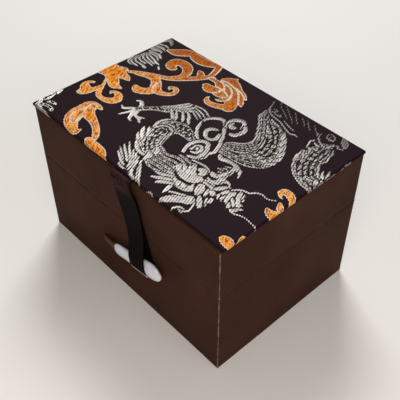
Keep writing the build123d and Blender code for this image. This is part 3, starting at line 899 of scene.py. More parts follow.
# cloud scrolls
silver(
    [(.9, 3.8, .4), (1.6, 6.6, .7), (3.6, 8.9, .8), (6, 9.6, .8), (8.2, 8.2, .8), (9.6, 6.4, .7),
     (11.2, 4.4, .7), (12.8, 2.2, .7), (14.3, -.2, .7), (15.6, -2.6, .7), (16.4, -4.8, .7),
     (15.8, -7, .6), (16, -9.2, .7), (15.6, -11.4, .4)],
    [(9.2, 8, .8), (8, 10.4, .9), (8.8, 13, 1), (11, 14.2, .9), (13, 12.9, .8), (13.5, 10.8, .4)],
    [(9.4, 11, .5), (9.6, 9.6, .8), (10.8, 9, 1.1), (11.8, 9.6, .6)],
    [(14.2, 12.5, .7), (15.3, 10.6, .9), (15.2, 8.2, .9), (14.4, 6.3, .9), (13.1, 5.9, .7)],
    [(1.1, 3.2, .4), (2.2, .6, .6), (3.8, -1.6, .6), (5.6, -3.2, .7), (7, -4, .5)],
    [(8.2, 4.1, .6), (6.6, 3.2, .8), (6, 1.6, .8), (7, -.4, .8), (8.6, -1.5, .6),
     (10.6, -1.2, .7), (11.5, .2, .8), (11, 2, .7), (10.6, 3, .4)],
    [(9, -12.4, .6), (7.7, -9.8, .7), (7.8, -6.4, .8), (9.4, -3.8, .8), (11.8, -3.6, .8),
     (13.8, -6.2, .8), (14.7, -9.2, .8), (14.2, -11.6, .7), (12, -12.8, .6)],
    [(9.8, -9.6, .5), (10, -7.2, .7), (11.4, -6.2, .6), (12.6, -7.8, .7), (12.4, -9.8, .6),
     (10.9, -10.6, .4)],
    [(10.9, -7.6, .4), (11.3, -8.6, .35)],
)

# head: the crest round the eye hollow
silver([(18.9, -4.7, .6), (20.4, -5.6, .9), (22.6, -4.9, .9), (25, -4.6, .7), (27, -4.9, .9),
        (28.6, -5.6, .9)], gap=0.3)
silver([(27.6, -6, 1.1), (27.4, -8.6, 1.1), (27.3, -10.8, 1.2), (26.6, -12.4, 1)], gap=JOINED)
silver([(29.4, -5.4, .5), (30.2, -6.8, .45), (31, -8.2, .3)], gap=0.25)
bare(
    [(26.2, -5.8, .12), (26.7, -8, .2), (26.2, -9.8, .12)],
    [(28.3, -6.4, .12), (27.7, -8.6, .2), (28.1, -10.6, .12)],
)
silver(
    [(25.9, -6.6, .3), (24.4, -7.4, .25)],
    [(25.6, -8, .3), (24.2, -8.7, .25)],
    [(25.4, -9.4, .25), (23.3, -9.7, .3)],
    [(25.6, -10.6, .3), (24.2, -11, .25)],
    gap=0.2,
)
silver([(23.6, -12.6, .5), (24.6, -13.2, 1), (26, -12.6, 1)], gap=JOINED)
bare([(25.3, -11.4, .12), (25.5, -13, .18)])
silver([(14.6, -13.2, .35), (17, -12.6, .4), (19.4, -12.2, .45), (21.6, -12.6, .4),
        (22.6, -13.2, .3)], gap=0.2)
# brow
silver([(28.3, -12, .8), (28.5, -13.4, 1.4), (27.8, -15.2, .9), (26, -15.9, .5),
        (24.6, -15.4, .4)], gap=0.3)
silver([(29.6, -12.6, .8), (30.8, -12.3, .5), (31.8, -12.9, .35), (32.8, -13.7, .3)], gap=JOINED)
bare([(29.5, -12.4, .12), (28.9, -13.6, .2), (29.3, -15, .15)])
silver([(31.7, -14.4, .7), (31, -15.8, .9), (30.1, -17.3, .7)], gap=0.3)
silver([(24.6, -16.9, .3), (26.8, -16.5, .35), (28.6, -16.7, .35)], gap=0.2)
silver([(25, -17.9, .5), (26.8, -17.8, .5), (28.6, -17.8, .6), (29.6, -18.6, .4)], gap=0.25)
# cheek, with the mane's first strands
silver([(14.6, -18.4, 1.9), (18, -19.4, 2.4), (21, -19, 2.5), (22.7, -18.4, 1.8)], gap=0.3)
silver([(16.8, -14.8, 1.2), (18.6, -17.2, 1.4)], gap=JOINED)
silver([(19.8, -14.6, .8), (21, -14.2, 1.2), (21.9, -15.2, 1.1), (21.4, -16.4, .5)], gap=0.3)
bare(
    [(14.6, -14.6, .1), (16.4, -16.8, .2), (17.2, -19, .1)],
    [(13, -16.6, .1), (15.2, -18.4, .2), (15.8, -20.6, .1)],
    [(19.2, -18.2, .1), (20, -19.6, .14), (20.2, -21, .1)],
)
# upper jaw
silver([(13.4, -22.8, .7), (15.4, -23.2, 1), (18, -24.4, 1.3), (20.4, -24.4, 1.5), (23, -24, 1.5),
        (24.6, -22.8, 1.2), (23.8, -21.4, .7)], gap=0.3)
bare(
    [(22.3, -22.6, .12), (23, -23.8, .2), (22.6, -25, .12)],
    [(20.4, -23.4, .1), (21, -24.6, .18), (20.6, -25.6, .1)],
)
# muzzle, eye and nostril
silver([(26, -19.8, 1.2), (26.6, -21, 1.6), (27.4, -22.6, 1.1), (27.4, -23.4, .6)], gap=0.3)
bare([(24.3, -18.4, .2), (24.2, -20.2, .3), (25.3, -22.4, .3), (26.9, -24.1, .3),
      (28.2, -24.6, .2)])
silver([(28.9, -19.4, .5), (29.4, -20.8, .55), (30, -22.2, .3)], gap=0.25)
silver([(30.5, -19.2, .95), (31.1, -19.6, .95)], gap=0.35)
silver([(32.6, -21.4, .55), (33, -22.6, .65), (32.9, -23.3, .35)], gap=0.3)
silver([(31.1, -22.2, .3), (32, -23.6, .4), (33.3, -24.9, .2)], gap=0.25)
silver([(29.2, -23.6, .7), (30.6, -24.8, .9), (31.8, -26, .9), (32.4, -26.9, .5)], gap=0.3)
# lower jaw, a solid wedge down to the front edge, the lip's curl, and the teeth
silver([(28, -25.6, .8), (27.8, -27, 1.9), (26.2, -28, 1.8), (24.6, -29.6, 1.7), (23, -31.4, 1.5),
        (22, -33, .9), (21.7, -34, .3)], gap=0.35)
silver(
    [(29, -25.6, .3), (30.2, -27, .35), (31.2, -28.8, .4), (31.4, -30.2, .4), (30.6, -31.4, .4),
     (30, -32, .3)],
    [(27.4, -33.7, .3), (27.3, -32.2, .4), (28.4, -31, .4), (29.8, -30.8, .3)],
    gap=0.25,
)
silver([(28.8, -31.9, .3), (30.2, -32.4, .3)], gap=0.2)
silver([(20.9, -28.8, .4), (22.4, -27.9, .45), (24, -27.2, .45), (25.4, -26.5, .4)], gap=0.3)
silver([(22.8, -29.3, .3), (24, -28.6, .35)], gap=0.2)
# beard under the jaw
silver(
    [(19, -25.8, .6), (19.3, -28, .8), (19.6, -30.6, .25)],
    [(14.2, -29.3, .35), (15.4, -27.8, .8), (17.4, -26.4, .7), (19, -25.6, .5)],
    [(11.2, -28.4, .3), (13, -27.4, .7), (15.2, -25.8, .7), (17, -24.8, .5)],
    [(10.4, -26, .3), (12.6, -25.4, .7), (14.6, -24.2, .6), (16, -23.4, .5)],
    gap=0.3,
)
# mane to the right, with the whiskers
silver([(33.9, -14.6, .6), (33.2, -16, .8), (33, -17.4, .5)], gap=0.3)
silver(
    [(32.4, -17.9, .3), (32.9, -19, .5), (33.7, -20, .25)],
    [(34.3, -17.4, .35), (34.4, -18.8, .4), (35, -20, .2)],
    gap=0.25,
)
silver([(34.4, -13.6, .5), (35.2, -14.6, 1), (35.3, -16.4, .8), (35.9, -18.2, .6),
        (36.8, -19.6, .25)], gap=0.3)
silver([(36.9, -12.6, .6), (37.6, -14.2, .8), (38.6, -15.8, .7), (39.8, -17, .9),
        (40.6, -17.6, .5), (41, -16.4, .3)], gap=0.25)
bare([(36.3, -13.8, .15), (36.5, -14.8, .25), (36.7, -15.8, .15)])
silver(
    [(36.6, -16.4, .4), (38, -17.4, .6), (39.2, -18.6, .5)],
    [(37.4, -18.6, .4), (38.2, -19.6, .7), (38.6, -20.4, .3)],
    gap=0.3,
)
silver(
    [(38.5, -12.5, .3), (39.2, -14.2, .3)],
    [(39.8, -14.3, .25), (39.8, -15.2, .25)],
    gap=0.2,
)
silver([(42.3, -17.8, .4), (41.4, -18.6, .6), (40.8, -20, .7), (40, -20.4, .6)], gap=0.3)
silver([(34, -13.8, .4), (35, -12.4, .4), (36.2, -11.4, .4), (37.6, -11, .35), (38.7, -10.8, .35),
        (39.5, -9.7, .35), (40.6, -8.7, .35), (42.2, -8.2, .3), (43.8, -8.5, .26),
        (45.4, -8, .24), (46.8, -6.8, .24)])
silver([(40.4, -20.9, .4), (42, -20.8, .35), (43.6, -20, .26), (46, -19.6, .24), (49, -19.9, .24),
        (50.6, -20.2, .26), (52.4, -21.4, .22)], gap=JOINED)

# claw at the front left corner
silver([(-49.8, -21.9, .5), (-49.2, -23.6, .8), (-48.8, -24.8, .3)])
silver(
    [(-49.6, -25, .35), (-48.8, -26.8, .55), (-48.6, -28.6, .6), (-49, -30, .35)],
    [(-50.2, -26, .5), (-50.9, -28, .7), (-50.6, -30.2, .7), (-49.2, -32, .9),
     (-47.4, -33.6, 1.2), (-45.2, -35, 1), (-42.6, -36, .5)],
    gap=0.3,
)
silver([(-49, -33.6, .4), (-48.6, -34.6, .3)], gap=0.2)
silver([(-47, -30, .5), (-45.7, -29.1, .8), (-44, -28.8, .6)],
       filling="hatch", pitch=1.2, slant=0.5)
silver([(-47.4, -32.4, .7), (-45.4, -31.5, .7), (-43.4, -31.4, .75), (-41.6, -31.9, .8)],
       filling="hatch", pitch=1.2, slant=0.5, gap=0.2)
silver([(-45.6, -34.6, .5), (-43.6, -34.4, .55), (-41, -34.8, .4), (-38.4, -35.4, .25)], gap=0.2)


def curve_through(points, pieces=6):
    """A smooth curve through the points, cut into short straight pieces."""
    ends = np.vstack([2 * points[0] - points[1], points, 2 * points[-1] - points[-2]])
    t = np.linspace(0, 1, pieces, endpoint=False)[:, None]
    runs = []
    for a, b, c, d in zip(ends, ends[1:], ends[2:], ends[3:]):
        bend = (2 * a - 5 * b + 4 * c - d) * t**2 + (3 * b - a - 3 * c + d) * t**3
        runs.append(b + 0.5 * ((c - a) * t + bend))
    curve = np.vstack(runs + [points[-1:]])
    thinnest = 0.12
    curve[:, 2] = np.maximum(curve[:, 2], thinnest)
    return curve


def measure_stroke(x, y, points):
    """How deep each place lies in the stroke, and how far along and across it."""
    not_reached = -9.0
    depth = np.full(x.shape, not_reached)
    along = np.zeros(x.shape)
    across = np.zeros(x.shape)
    walked = 0.0
    curve = curve_through(points)
    for a, b in zip(curve, curve[1:]):
        step = b[:2] - a[:2]
        length = math.hypot(*step) + 1e-9
        right_of = x - a[0], y - a[1]
        share = np.clip((right_of[0] * step[0] + right_of[1] * step[1]) / length**2, 0, 1)
        away = np.hypot(right_of[0] - share * step[0], right_of[1] - share * step[1])
        left_side = right_of[1] * step[0] - right_of[0] * step[1] > 0
        here = a[2] + (b[2] - a[2]) * share - away
        nearer = here > depth
        depth = np.where(nearer, here, depth)
        along = np.where(nearer, walked + share * length, along)
        across = np.where(nearer, np.where(left_side, away, -away), across)
        walked += length
    return depth, along, across


def weave(x, y):
    """Lays the strokes over each other, each with a dark outline on the one below."""
    far_off = -2.0
    depth = {"silver": np.full(x.shape, far_off), "orange": np.full(x.shape, far_off)}
    rows = np.full(x.shape, NO_ROW)
    cuts = np.full(x.shape, NO_ROW)
    drift = 0.12 * np.sin(1.7 * x + 2.1 * y) + 0.1 * np.sin(2.9 * x - 1.3 * y)
    for thread, filling, pitch, slant, gap, points in strokes:
        reach = points[:, 2].max() + 0.1 - far_off
        low, high = points[:, :2].min(0) - reach, points[:, :2].max(0) + reach
        near = (x > low[0]) & (x < high[0]) & (y > low[1]) & (y < high[1])
        if not near.any():
            continue
        inside, along, across = measure_stroke(x[near], y[near], points)
        for other in depth:
            cleared = np.maximum(-inside - gap, far_off)
            depth[other][near] = np.minimum(depth[other][near], cleared)
        if thread == "ground":
            continue
        depth[thread][near] = np.maximum(depth[thread][near], np.maximum(inside, far_off))
        line_row = np.full(inside.shape, NO_ROW)
        line_cut = np.full(inside.shape, NO_ROW)
        if filling == "hatch":
            line_row = (along + slant * across) / pitch + drift[near]
            line_cut = across / 3.4 + 0.5
        if filling == "hair":
            line_row = across / pitch + 0.15 * np.sin(0.8 * along) + drift[near]
            line_cut = along / 3.6
        if filling == "scale":
            line_row = along / pitch + 0.25 * np.cos(math.pi * across / pitch) + drift[near]
            line_cut = across / (1.15 * pitch) + 0.25 + 0.5 * drift[near]
        if filling == "band":
            line_row = across / pitch + 0.5 + drift[near]
            line_cut = (along + 0.8 * across) / (1.3 * pitch) + 0.5 * drift[near]
        covers = inside > -gap / 2
        rows[near] = np.where(covers, line_row, rows[near])
        cuts[near] = np.where(covers, line_cut, cuts[near])
    return depth["silver"], depth["orange"], rows, cuts


# The cloth: a fine grid in the flat cloth's own millimetres. Its padded edges roll over
# and under, bulge past the lid at both ends, and lie a little askew along the front.
low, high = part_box("panel_brocade")
lid_top_z = low.z / mm
panel_top_z = high.z / mm
roll_radius = (panel_top_z - lid_top_z - 0.04) / 2
end_bulge = 1.1
front_askew = 0.016
flat_x = high.x / mm + end_bulge - roll_radius
flat_y = high.y / mm - roll_radius
arc_length = roll_radius * math.pi
cloth_x = flat_x + arc_length
cloth_y = flat_y + arc_length + 0.6
bpy.ops.object.select_all(action="DESELECT")
bpy.ops.mesh.primitive_grid_add(x_subdivisions=358, y_subdivisions=246, size=2)
brocade = bpy.context.object
brocade.name = "brocade_panel"
flat_place = get_points(brocade)
u = flat_place[:, 0] * cloth_x
v = flat_place[:, 1] * cloth_y
silver_depth, orange_depth, thread_rows, thread_cuts = weave(u, v)

edge_y = np.where(v < 0, flat_y + np.maximum(-front_askew * u - 0.1, 0), flat_y)
over_x = np.maximum(np.abs(u) - flat_x, 0)
over_y = np.maximum(np.abs(v) - edge_y, 0)
over = np.hypot(over_x, over_y)
walk = np.minimum(over, arc_length)
outward_by = roll_radius * np.sin(walk / roll_radius)
down_by = roll_radius * (1 - np.cos(walk / roll_radius))
x = np.clip(u, -flat_x, flat_x) + np.sign(u) * outward_by * over_x / np.maximum(over, 1e-9)
y = np.clip(v, -edge_y, edge_y) + np.sign(v) * outward_by * over_y / np.maximum(over, 1e-9)
z = panel_top_z - down_by
# The wadding's low crown, the cloth's slight waves, and the floating threads' height
edge_zone = 1.2
crown_height = 0.35
sunk_by = 0.12
wave_height = 0.05
thread_rise = 0.12
thread_edge = 0.35
on_top = 1 - np.minimum(walk, edge_zone) / edge_zone
crown = crown_height * (1 - (u / cloth_x) ** 4) * (1 - (v / cloth_y) ** 4) - sunk_by
waves = wave_height * np.sin(0.31 * u + 0.2 * v) * np.sin(0.27 * v - 0.11 * u)
threads = np.clip(np.maximum(silver_depth, orange_depth) / thread_edge, 0, 1)
z += on_top * (crown + waves) + thread_rise * threads * (down_by < 0.4)
# Room for the strap's tail, which goes under the panel at the front
strap_middle = 3.1
half_room = 6.0
tail_room = 0.62
under = (v < 0) & (np.abs(x - strap_middle) < half_room)
z = np.where(under, np.maximum(z, lid_top_z + tail_room), z)
brocade.data.vertices.foreach_set("co", (np.stack([x, y, z], 1) * mm).ravel())
for name, values in (
    ("silver", silver_depth),
    ("orange", orange_depth),
    ("rows", thread_rows),
    ("cuts", thread_cuts),
):
    store(brocade, name, values)
cloth_map = brocade.data.uv_layers.new(name="cloth")
corners = np.zeros(len(brocade.data.loops), int)
brocade.data.loops.foreach_get("vertex_index", corners)
cloth_map.data.foreach_set("uv", (np.stack([u, v], 1)[corners]).ravel())
brocade.data.update()
# The cut corners of the cloth are folded away, and its hem is turned in below
hem_width = 0.5 * mm
form = bmesh.new()
form.from_mesh(brocade.data)
form.verts.ensure_lookup_table()
gone = over > arc_length - 1e-6
hidden = [f for f in form.faces if all(gone[corner.index] for corner in f.verts)]
bmesh.ops.delete(form, geom=hidden, context="FACES")
bmesh.ops.remove_doubles(form, verts=form.verts, dist=0.002 * mm)
hem = bmesh.ops.extrude_edge_only(form, edges=[e for e in form.edges if e.is_boundary])
for part in hem["geom"]:
    if isinstance(part, bmesh.types.BMVert):
        part.co.x -= math.copysign(hem_width, part.co.x)
        part.co.y -= math.copysign(hem_width, part.co.y)
        part.co.z += 0.02 * mm
form.to_mesh(brocade.data)
form.free()
bpy.ops.object.shade_smooth()

# Woven metallic threads: a stripe of 0.31 mm, drawn coarser than the real thread so that
# it shows, slants over every float, and the pale outline is one thread wide
woven, tree, surface = start_material(
    "silk brocade with metallic wefts", "#241a1c", Roughness=0.5, Specular_IOR_Level=0.03
)
cloth = add_node(tree, "ShaderNodeUVMap", uv_map="cloth").outputs["UV"]
axes = add_node(tree, "ShaderNodeSeparateXYZ", {"Vector": cloth})
# Ragged edges of 0.4 mm, a mottle of 2.2 mm, and streaks that run along the threads
ragged = add_node(tree, "ShaderNodeTexNoise", {"Vector": cloth, "Scale": 2.6, "Detail": 2})
mottle = add_node(tree, "ShaderNodeTexNoise", {"Vector": cloth, "Scale": 0.45, "Detail": 3})
along_threads = add_node(
    tree,
    "ShaderNodeMapping",
    {"Vector": cloth, "Rotation": (0, 0, math.radians(122)), "Scale": (2.6, 0.75, 1)},
    vector_type="TEXTURE",
)
streaks = add_node(
    tree, "ShaderNodeTexNoise", {"Vector": along_threads, "Scale": 1, "Detail": 2}
)
signals = {"x": axes.outputs["X"], "y": axes.outputs["Y"]}
signals.update(ragged=ragged, mottle=mottle, streaks=streaks)
for name in ("silver", "orange", "rows", "cuts"):
    stored = add_node(tree, "ShaderNodeAttribute", attribute_name=name)
    signals[name] = stored.outputs["Fac"]

# Each line below is one node: its name, what it does, and its inputs, which are numbers,
# colours or the names of nodes. STEP goes smoothly from 0 at its first limit to 1 at its
# second, BLEND lays its second colour over its first, and the rest are Math operations.
thread_slant = 0.36
turns = 2 * math.pi
step_inputs = ("Value", "From Min", "From Max")
blend_inputs = ("Fac", "Color1", "Color2")
for name, does, *values in [
    # The wefts are laid in steps 0.93 mm apart, and each step's end makes a tooth in the
    # border and a dark nick in the float
    ("slanted", "MULTIPLY_ADD", "y", thread_slant, "x"),
    ("uneven", "MULTIPLY", "ragged", 0.5),
    ("steps", "MULTIPLY_ADD", "slanted", 1 / 0.93, "uneven"),
    ("step_wave", "PINGPONG", "steps", 0.5),
    ("tooth", "MULTIPLY_ADD", "step_wave", 0.8, -0.24),
    ("rough", "MULTIPLY_ADD", "ragged", 0.6, -0.3),
    ("wobble", "ADD", "rough", "tooth"),
    ("silver_edge", "ADD", "silver", "wobble"),
    ("orange_edge", "MULTIPLY_ADD", "wobble", 0.7, "orange"),
    ("is_silver", "STEP", "silver_edge", -0.04, 0.08),
    ("is_orange", "STEP", "orange_edge", -0.04, 0.06),
    # Rows of floats, and the cuts in them, half a length along in every other row
    ("row_at", "MULTIPLY_ADD", "wobble", 0.25, "rows"),
    ("row_wave", "PINGPONG", "row_at", 0.5),
    ("row_line", "STEP", "row_wave", 0.27, 0.17),
    ("row_number", "FLOOR", "row_at"),
    ("cut_shift", "MULTIPLY_ADD", "row_number", 0.5, "cuts"),
    ("cut_at", "MULTIPLY_ADD", "wobble", 0.2, "cut_shift"),
    ("cut_wave", "PINGPONG", "cut_at", 0.5),
    ("cut_line", "STEP", "cut_wave", 0.18, 0.1),
    ("row_offset", "SUBTRACT", "rows", NO_ROW),
    ("row_distance", "ABSOLUTE", "row_offset"),
    ("has_rows", "GREATER_THAN", "row_distance", 0.0001),
    ("any_line", "MAXIMUM", "row_line", "cut_line"),
    ("dark_line", "MULTIPLY", "any_line", "has_rows"),
    ("step_end", "STEP", "step_wave", 0.2, 0.08),
    ("here_and_there", "STEP", "ragged", 0.34, 0.5),
    ("nick", "MULTIPLY", "step_end", "here_and_there"),
    ("any_gap", "MAXIMUM", "dark_line", "nick"),
    ("inside_rim", "STEP", "silver_edge", 0.2, 0.34),
    ("gap_share", "MULTIPLY", "any_gap", "inside_rim"),
    ("kept", "SUBTRACT", 1.0, "gap_share"),
    ("silver_share", "MULTIPLY", "is_silver", "kept"),
    # Slanting threads
    ("thread_angle", "MULTIPLY", "slanted", turns / 0.31),
    ("thread_wave", "SINE", "thread_angle"),
    ("thread_height", "MULTIPLY_ADD", "thread_wave", 0.5, 0.5),
    # Ground: fine satin twill
    ("across_twill", "SUBTRACT", "x", "y"),
    ("twill_angle", "MULTIPLY", "across_twill", turns / 0.5),
    ("twill_wave", "SINE", "twill_angle"),
    ("twill", "MULTIPLY_ADD", "twill_wave", 0.5, 0.5),
    ("ground", "BLEND", "twill", "#180b10", "#25151b"),
    # Silver: cool grey in the hollows and warm white on top, a painted shade in the hollows and a
    # painted highlight on the threads' tops
    ("mottled", "MULTIPLY", "mottle", 0.55),
    ("silver_tone", "MULTIPLY_ADD", "thread_height", 0.4, "mottled"),
    ("silver_shine", "STEP", "silver_tone", 0.2, 0.75),
    ("bright_silver", "BLEND", "silver_shine", "#857f79", "#dcd8d0"),
    # Painted shade: the silver is darker toward the back and in the fan at the left edge, where
    # its threads catch less light
    ("behind_middle", "STEP", "y", -14.0, 0.0),
    ("silver_shade_middle", "MULTIPLY", "behind_middle", 0.18),
    ("near_back", "STEP", "y", 17.0, 31.0),
    ("silver_shade_back", "MULTIPLY_ADD", "near_back", 0.5, "silver_shade_middle"),
    ("near_left", "STEP", "x", -36.0, -46.0),
    ("fan_height", "STEP", "y", 2.0, 9.0),
    ("at_fan", "MULTIPLY", "near_left", "fan_height"),
    ("silver_shade_fan", "MULTIPLY", "at_fan", 0.55),
    ("silver_shade", "MAXIMUM", "silver_shade_back", "silver_shade_fan"),
    ("silver_colour", "BLEND", "silver_shade", "bright_silver", "#3c3836"),
    # Orange: rust where two rows meet, bright in the middle and gold where brightest: painted
    # shade between the rows and painted highlight on them, with random streaks
    ("orange_at", "ADD", "rows", "wobble"),
    ("orange_part", "FRACT", "orange_at"),
    ("orange_row", "PINGPONG", "orange_part", 0.5),
    ("streaked", "STEP", "streaks", 0.3, 0.7),
    ("row_tone", "MULTIPLY_ADD", "orange_row", 0.35, "streaked"),
    ("orange_tone", "MULTIPLY_ADD", "tooth", 0.4, "row_tone"),
    ("bright", "STEP", "orange_tone", 0.1, 0.7),
    ("rust_to_orange", "BLEND", "bright", "#9a4310", "#e58c22"),
    ("brightest", "STEP", "orange_tone", 0.8, 1.15),
    ("orange_to_gold", "BLEND", "brightest", "rust_to_orange", "#f3b448"),
    # A pale outline, and inside it a second pale line that comes and goes
    ("line_start", "STEP", "orange_edge", 0.86, 0.96),
    ("line_end", "STEP", "orange_edge", 1.22, 1.12),
    ("second_line", "MULTIPLY", "line_start", "line_end"),
    ("comes_and_goes", "STEP", "mottle", 0.4, 0.55),
    ("broken_line", "MULTIPLY", "second_line", "comes_and_goes"),
    ("line_share", "MULTIPLY", "broken_line", 0.75),
    ("lined_orange", "BLEND", "line_share", "orange_to_gold", "#e8c9a0"),
    # Painted shade: the orange is darker toward the back
    ("toward_back", "STEP", "y", -4.0, 30.0),
    ("orange_shade_share", "MULTIPLY", "toward_back", 0.75),
    ("orange_shaded_back", "BLEND", "orange_shade_share", "lined_orange", "#8a3c14"),
    ("rim", "STEP", "orange_edge", 0.42, 0.28),
    ("orange_colour", "BLEND", "rim", "orange_shaded_back", "#dcc9b0"),
    # All of it together, and the floats' height over the ground
    ("with_silver", "BLEND", "silver_share", "ground", "silver_colour"),
    ("colour", "BLEND", "is_orange", "with_silver", "orange_colour"),
    ("metallic", "MULTIPLY", "silver_share", 0.85),
    ("roughness", "MULTIPLY_ADD", "silver_share", -0.22, 0.55),
    ("any_float", "MAXIMUM", "silver_share", "is_orange"),
    ("float_height", "MULTIPLY_ADD", "thread_height", 0.5, 0.5),
    ("floats_up", "MULTIPLY", "any_float", "float_height"),
    ("relief", "MULTIPLY_ADD", "twill", 0.12, "floats_up"),
]:
    values = [signals.get(value, value) for value in values]
    values = [to_linear(value) if isinstance(value, str) else value for value in values]
    if does == "STEP":
        inputs = dict(zip(step_inputs, values))
        kind, settings = "ShaderNodeMapRange", {"interpolation_type": "SMOOTHSTEP"}
    elif does == "BLEND":
        inputs = dict(zip(blend_inputs, values))
        kind, settings = "ShaderNodeMixRGB", {}
    else:
        inputs = dict(enumerate(values))
        kind, settings = "ShaderNodeMath", {"operation": does}
    signals[name] = add_node(tree, kind, inputs, **settings)
weave_bump = add_node(
    tree, "ShaderNodeBump", {"Height": signals["relief"], "Strength": 0.6, "Distance": 0.16 * mm}
)
set_inputs(surface, {"Base Color": signals["colour"], "Normal": weave_bump})
set_inputs(surface, {"Metallic": signals["metallic"], "Roughness": signals["roughness"]})
brocade.data.materials.append(woven)
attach(brocade, "lid")
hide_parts("panel_brocade", "panel_wadding")

# Strap
# Dark brown satin ribbon, glued under the panel. It bends over the lid's front edge,
# hangs down the front, and its end is folded up into a loop round the peg.
clasp_place = Vector((-3.4, -34.25, 23.0))
clasp_tilt = math.radians(13)
along = Vector((math.cos(clasp_tilt), 0, math.sin(clasp_tilt)))
up_across = Vector((-math.sin(clasp_tilt), 0, math.cos(clasp_tilt)))


def on_clasp(u, v, off):
    """A place in the clasp's own millimetres: along the peg, across it, and off the wall."""
    return (clasp_place + along * u + up_across * v + Vector((0, -off, 0))) * mm


# Stations along the ribbon: height across the peg, distance off the wall, width, and
# place along the peg. Both layers puff out where they come from under the panel, and the
# loop leans with the peg's thicker right end.
stations = [
    (36.4, 0.75, 9.4, 15.3), (35.2, 1.3, 9.4, 15.3), (33.6, 1.6, 9.4, 15.3),
    (32.0, 1.5, 9.6, 15.3), (30.6, 1.0, 10.1, 15.4), (29.2, 0.6, 10.7, 15.5),
    (26.0, 0.45, 11.0, 15.5), (22.0, 0.45, 10.7, 15.6), (18.0, 0.45, 10.2, 15.8),
    (14.0, 0.45, 9.7, 16.2), (9.0, 0.45, 9.3, 16.7), (4.0, 0.45, 9.0, 17.0),
    (0.0, 0.45, 8.8, 16.8), (-1.8, 0.5, 8.7, 16.5), (-3.0, 1.0, 8.6, 16.3),
    (-3.5, 2.3, 8.6, 16.2), (-3.0, 3.6, 8.6, 16.2), (-1.6, 4.05, 8.6, 16.2),
    (0.4, 4.15, 8.6, 16.2), (2.6, 4.05, 8.6, 16.2), (5.0, 3.35, 8.6, 16.2),
    (8.0, 2.35, 8.7, 16.1), (11.0, 1.6, 9.0, 15.9), (14.0, 1.1, 9.5, 15.7),
    (18.0, 0.85, 10.2, 15.6), (22.0, 0.85, 10.8, 15.5), (26.0, 0.9, 11.2, 15.3),
    (28.8, 1.05, 11.2, 15.4), (30.3, 1.4, 10.4, 15.4), (32.0, 1.8, 9.7, 15.3),
    (33.8, 1.95, 9.4, 15.3), (35.6, 1.75, 9.4, 15.3), (36.9, 1.0, 9.4, 15.3),
]


def ribbon(name, centres, widths, sideways, thickness):
    """A ribbon through its centre points, as a thin closed form with rounded bends."""
    across_steps = 14
    steps = np.linspace(-0.5, 0.5, across_steps + 1)
    crossings = zip(centres, sideways, widths)
    verts = [c + s * w * share * mm for c, s, w in crossings for share in steps]
    row = across_steps + 1
    quads = [
        (i * row + j, i * row + j + 1, (i + 1) * row + j + 1, (i + 1) * row + j)
        for i in range(len(centres) - 1)
        for j in range(across_steps)
    ]
    mesh = bpy.data.meshes.new(name)
    mesh.from_pydata(verts, [], quads)
    piece = bpy.data.objects.new(name, mesh)
    bpy.context.collection.objects.link(piece)
    rounder = piece.modifiers.new("rounder", "SUBSURF")
    rounder.levels = rounder.render_levels = 2
    body = piece.modifiers.new("thickness", "SOLIDIFY")
    body.thickness = thickness
    body.offset = 0
    apply_modifiers(piece)
    bpy.ops.object.mode_set(mode="EDIT")
    bpy.ops.mesh.select_all(action="SELECT")
    bpy.ops.mesh.normals_make_consistent(inside=False)
    bpy.ops.object.mode_set(mode="OBJECT")
    smooth(piece, 45)
    return piece


loop_lean = 0.09
centres, sideways, widths = [], [], []
for height, off, width, place_along in stations:
    centres.append(on_clasp(place_along, height, off))
    level = Vector((1, 0, 0)).lerp(along, min(1, max(0, (36 - height) / 14)))
    lean = loop_lean * min(1, max(0, (6 - height) / 6))
    sideways.append((level - lean * up_across).normalized())
    widths.append(width)
# The tail goes back under the panel, and the other layer ends on top of it
edge_x = centres[0].x
tail_width = 9.4
for inward in (0.0, 2.0, 6.0, 12.0):
    centres.insert(0, Vector((edge_x, (inward - 34.1) * mm, 61.33 * mm)))
    sideways.insert(0, Vector((1, 0, 0)))
    widths.insert(0, tail_width)
for inward in (0.0, 1.2, 3.0):
    centres.append(Vector((edge_x, (inward - 34.2) * mm, 61.63 * mm)))
    sideways.append(Vector((1, 0, 0)))
    widths.append(tail_width)
strap = ribbon("satin_strap", centres, widths, sideways, 0.24 * mm)
# Creases across the gathered top, and a painted highlight along the fold's lower edge
points = get_points(strap)
from_clasp = points / mm - np.array(clasp_place)
height = from_clasp @ np.array(up_across)
along_peg = from_clasp @ np.array(along)
gathered_from = 29.5
crease_depth = 0.13 * mm
gathered = np.clip((height - gathered_from) / 2, 0, 1)
creases = np.sin(height * 2.9 + np.sin(points[:, 0] / mm * 0.9) * 1.4)
creases += 0.6 * np.sin(height * 4.7 - points[:, 0] / mm * 0.8)
points[:, 1] -= crease_depth * gathered * creases
set_points(strap, points)
on_front = from_clasp[:, 1] < -3.0
fold_at = -2.4 - loop_lean * (along_peg - 16.2)
fold_half = 0.55
fold_highlight = np.exp(-(((height - fold_at) / fold_half) ** 4)) * on_front
store(strap, "gathered", gathered)
store(strap, "fold_highlight", fold_highlight)
satin, tree, surface = start_material(
    "dark brown satin ribbon", "#0b0605", Roughness=0.6, Specular_IOR_Level=0.03
)
place = add_node(tree, "ShaderNodeTexCoord").outputs["Object"]
# Yarns a quarter of a millimetre wide, which run down the ribbon
squeezed = add_node(tree, "ShaderNodeMapping", {"Vector": place, "Scale": (9, 1, 1.2)})
yarns = add_node(tree, "ShaderNodeTexNoise", {"Vector": squeezed, "Scale": 420, "Detail": 3})
ribbon_tint = add_node(
    tree, "ShaderNodeValToRGB", {"Fac": yarns}, ramp=[(0.3, "#070404"), (0.7, "#0e0909")]
)
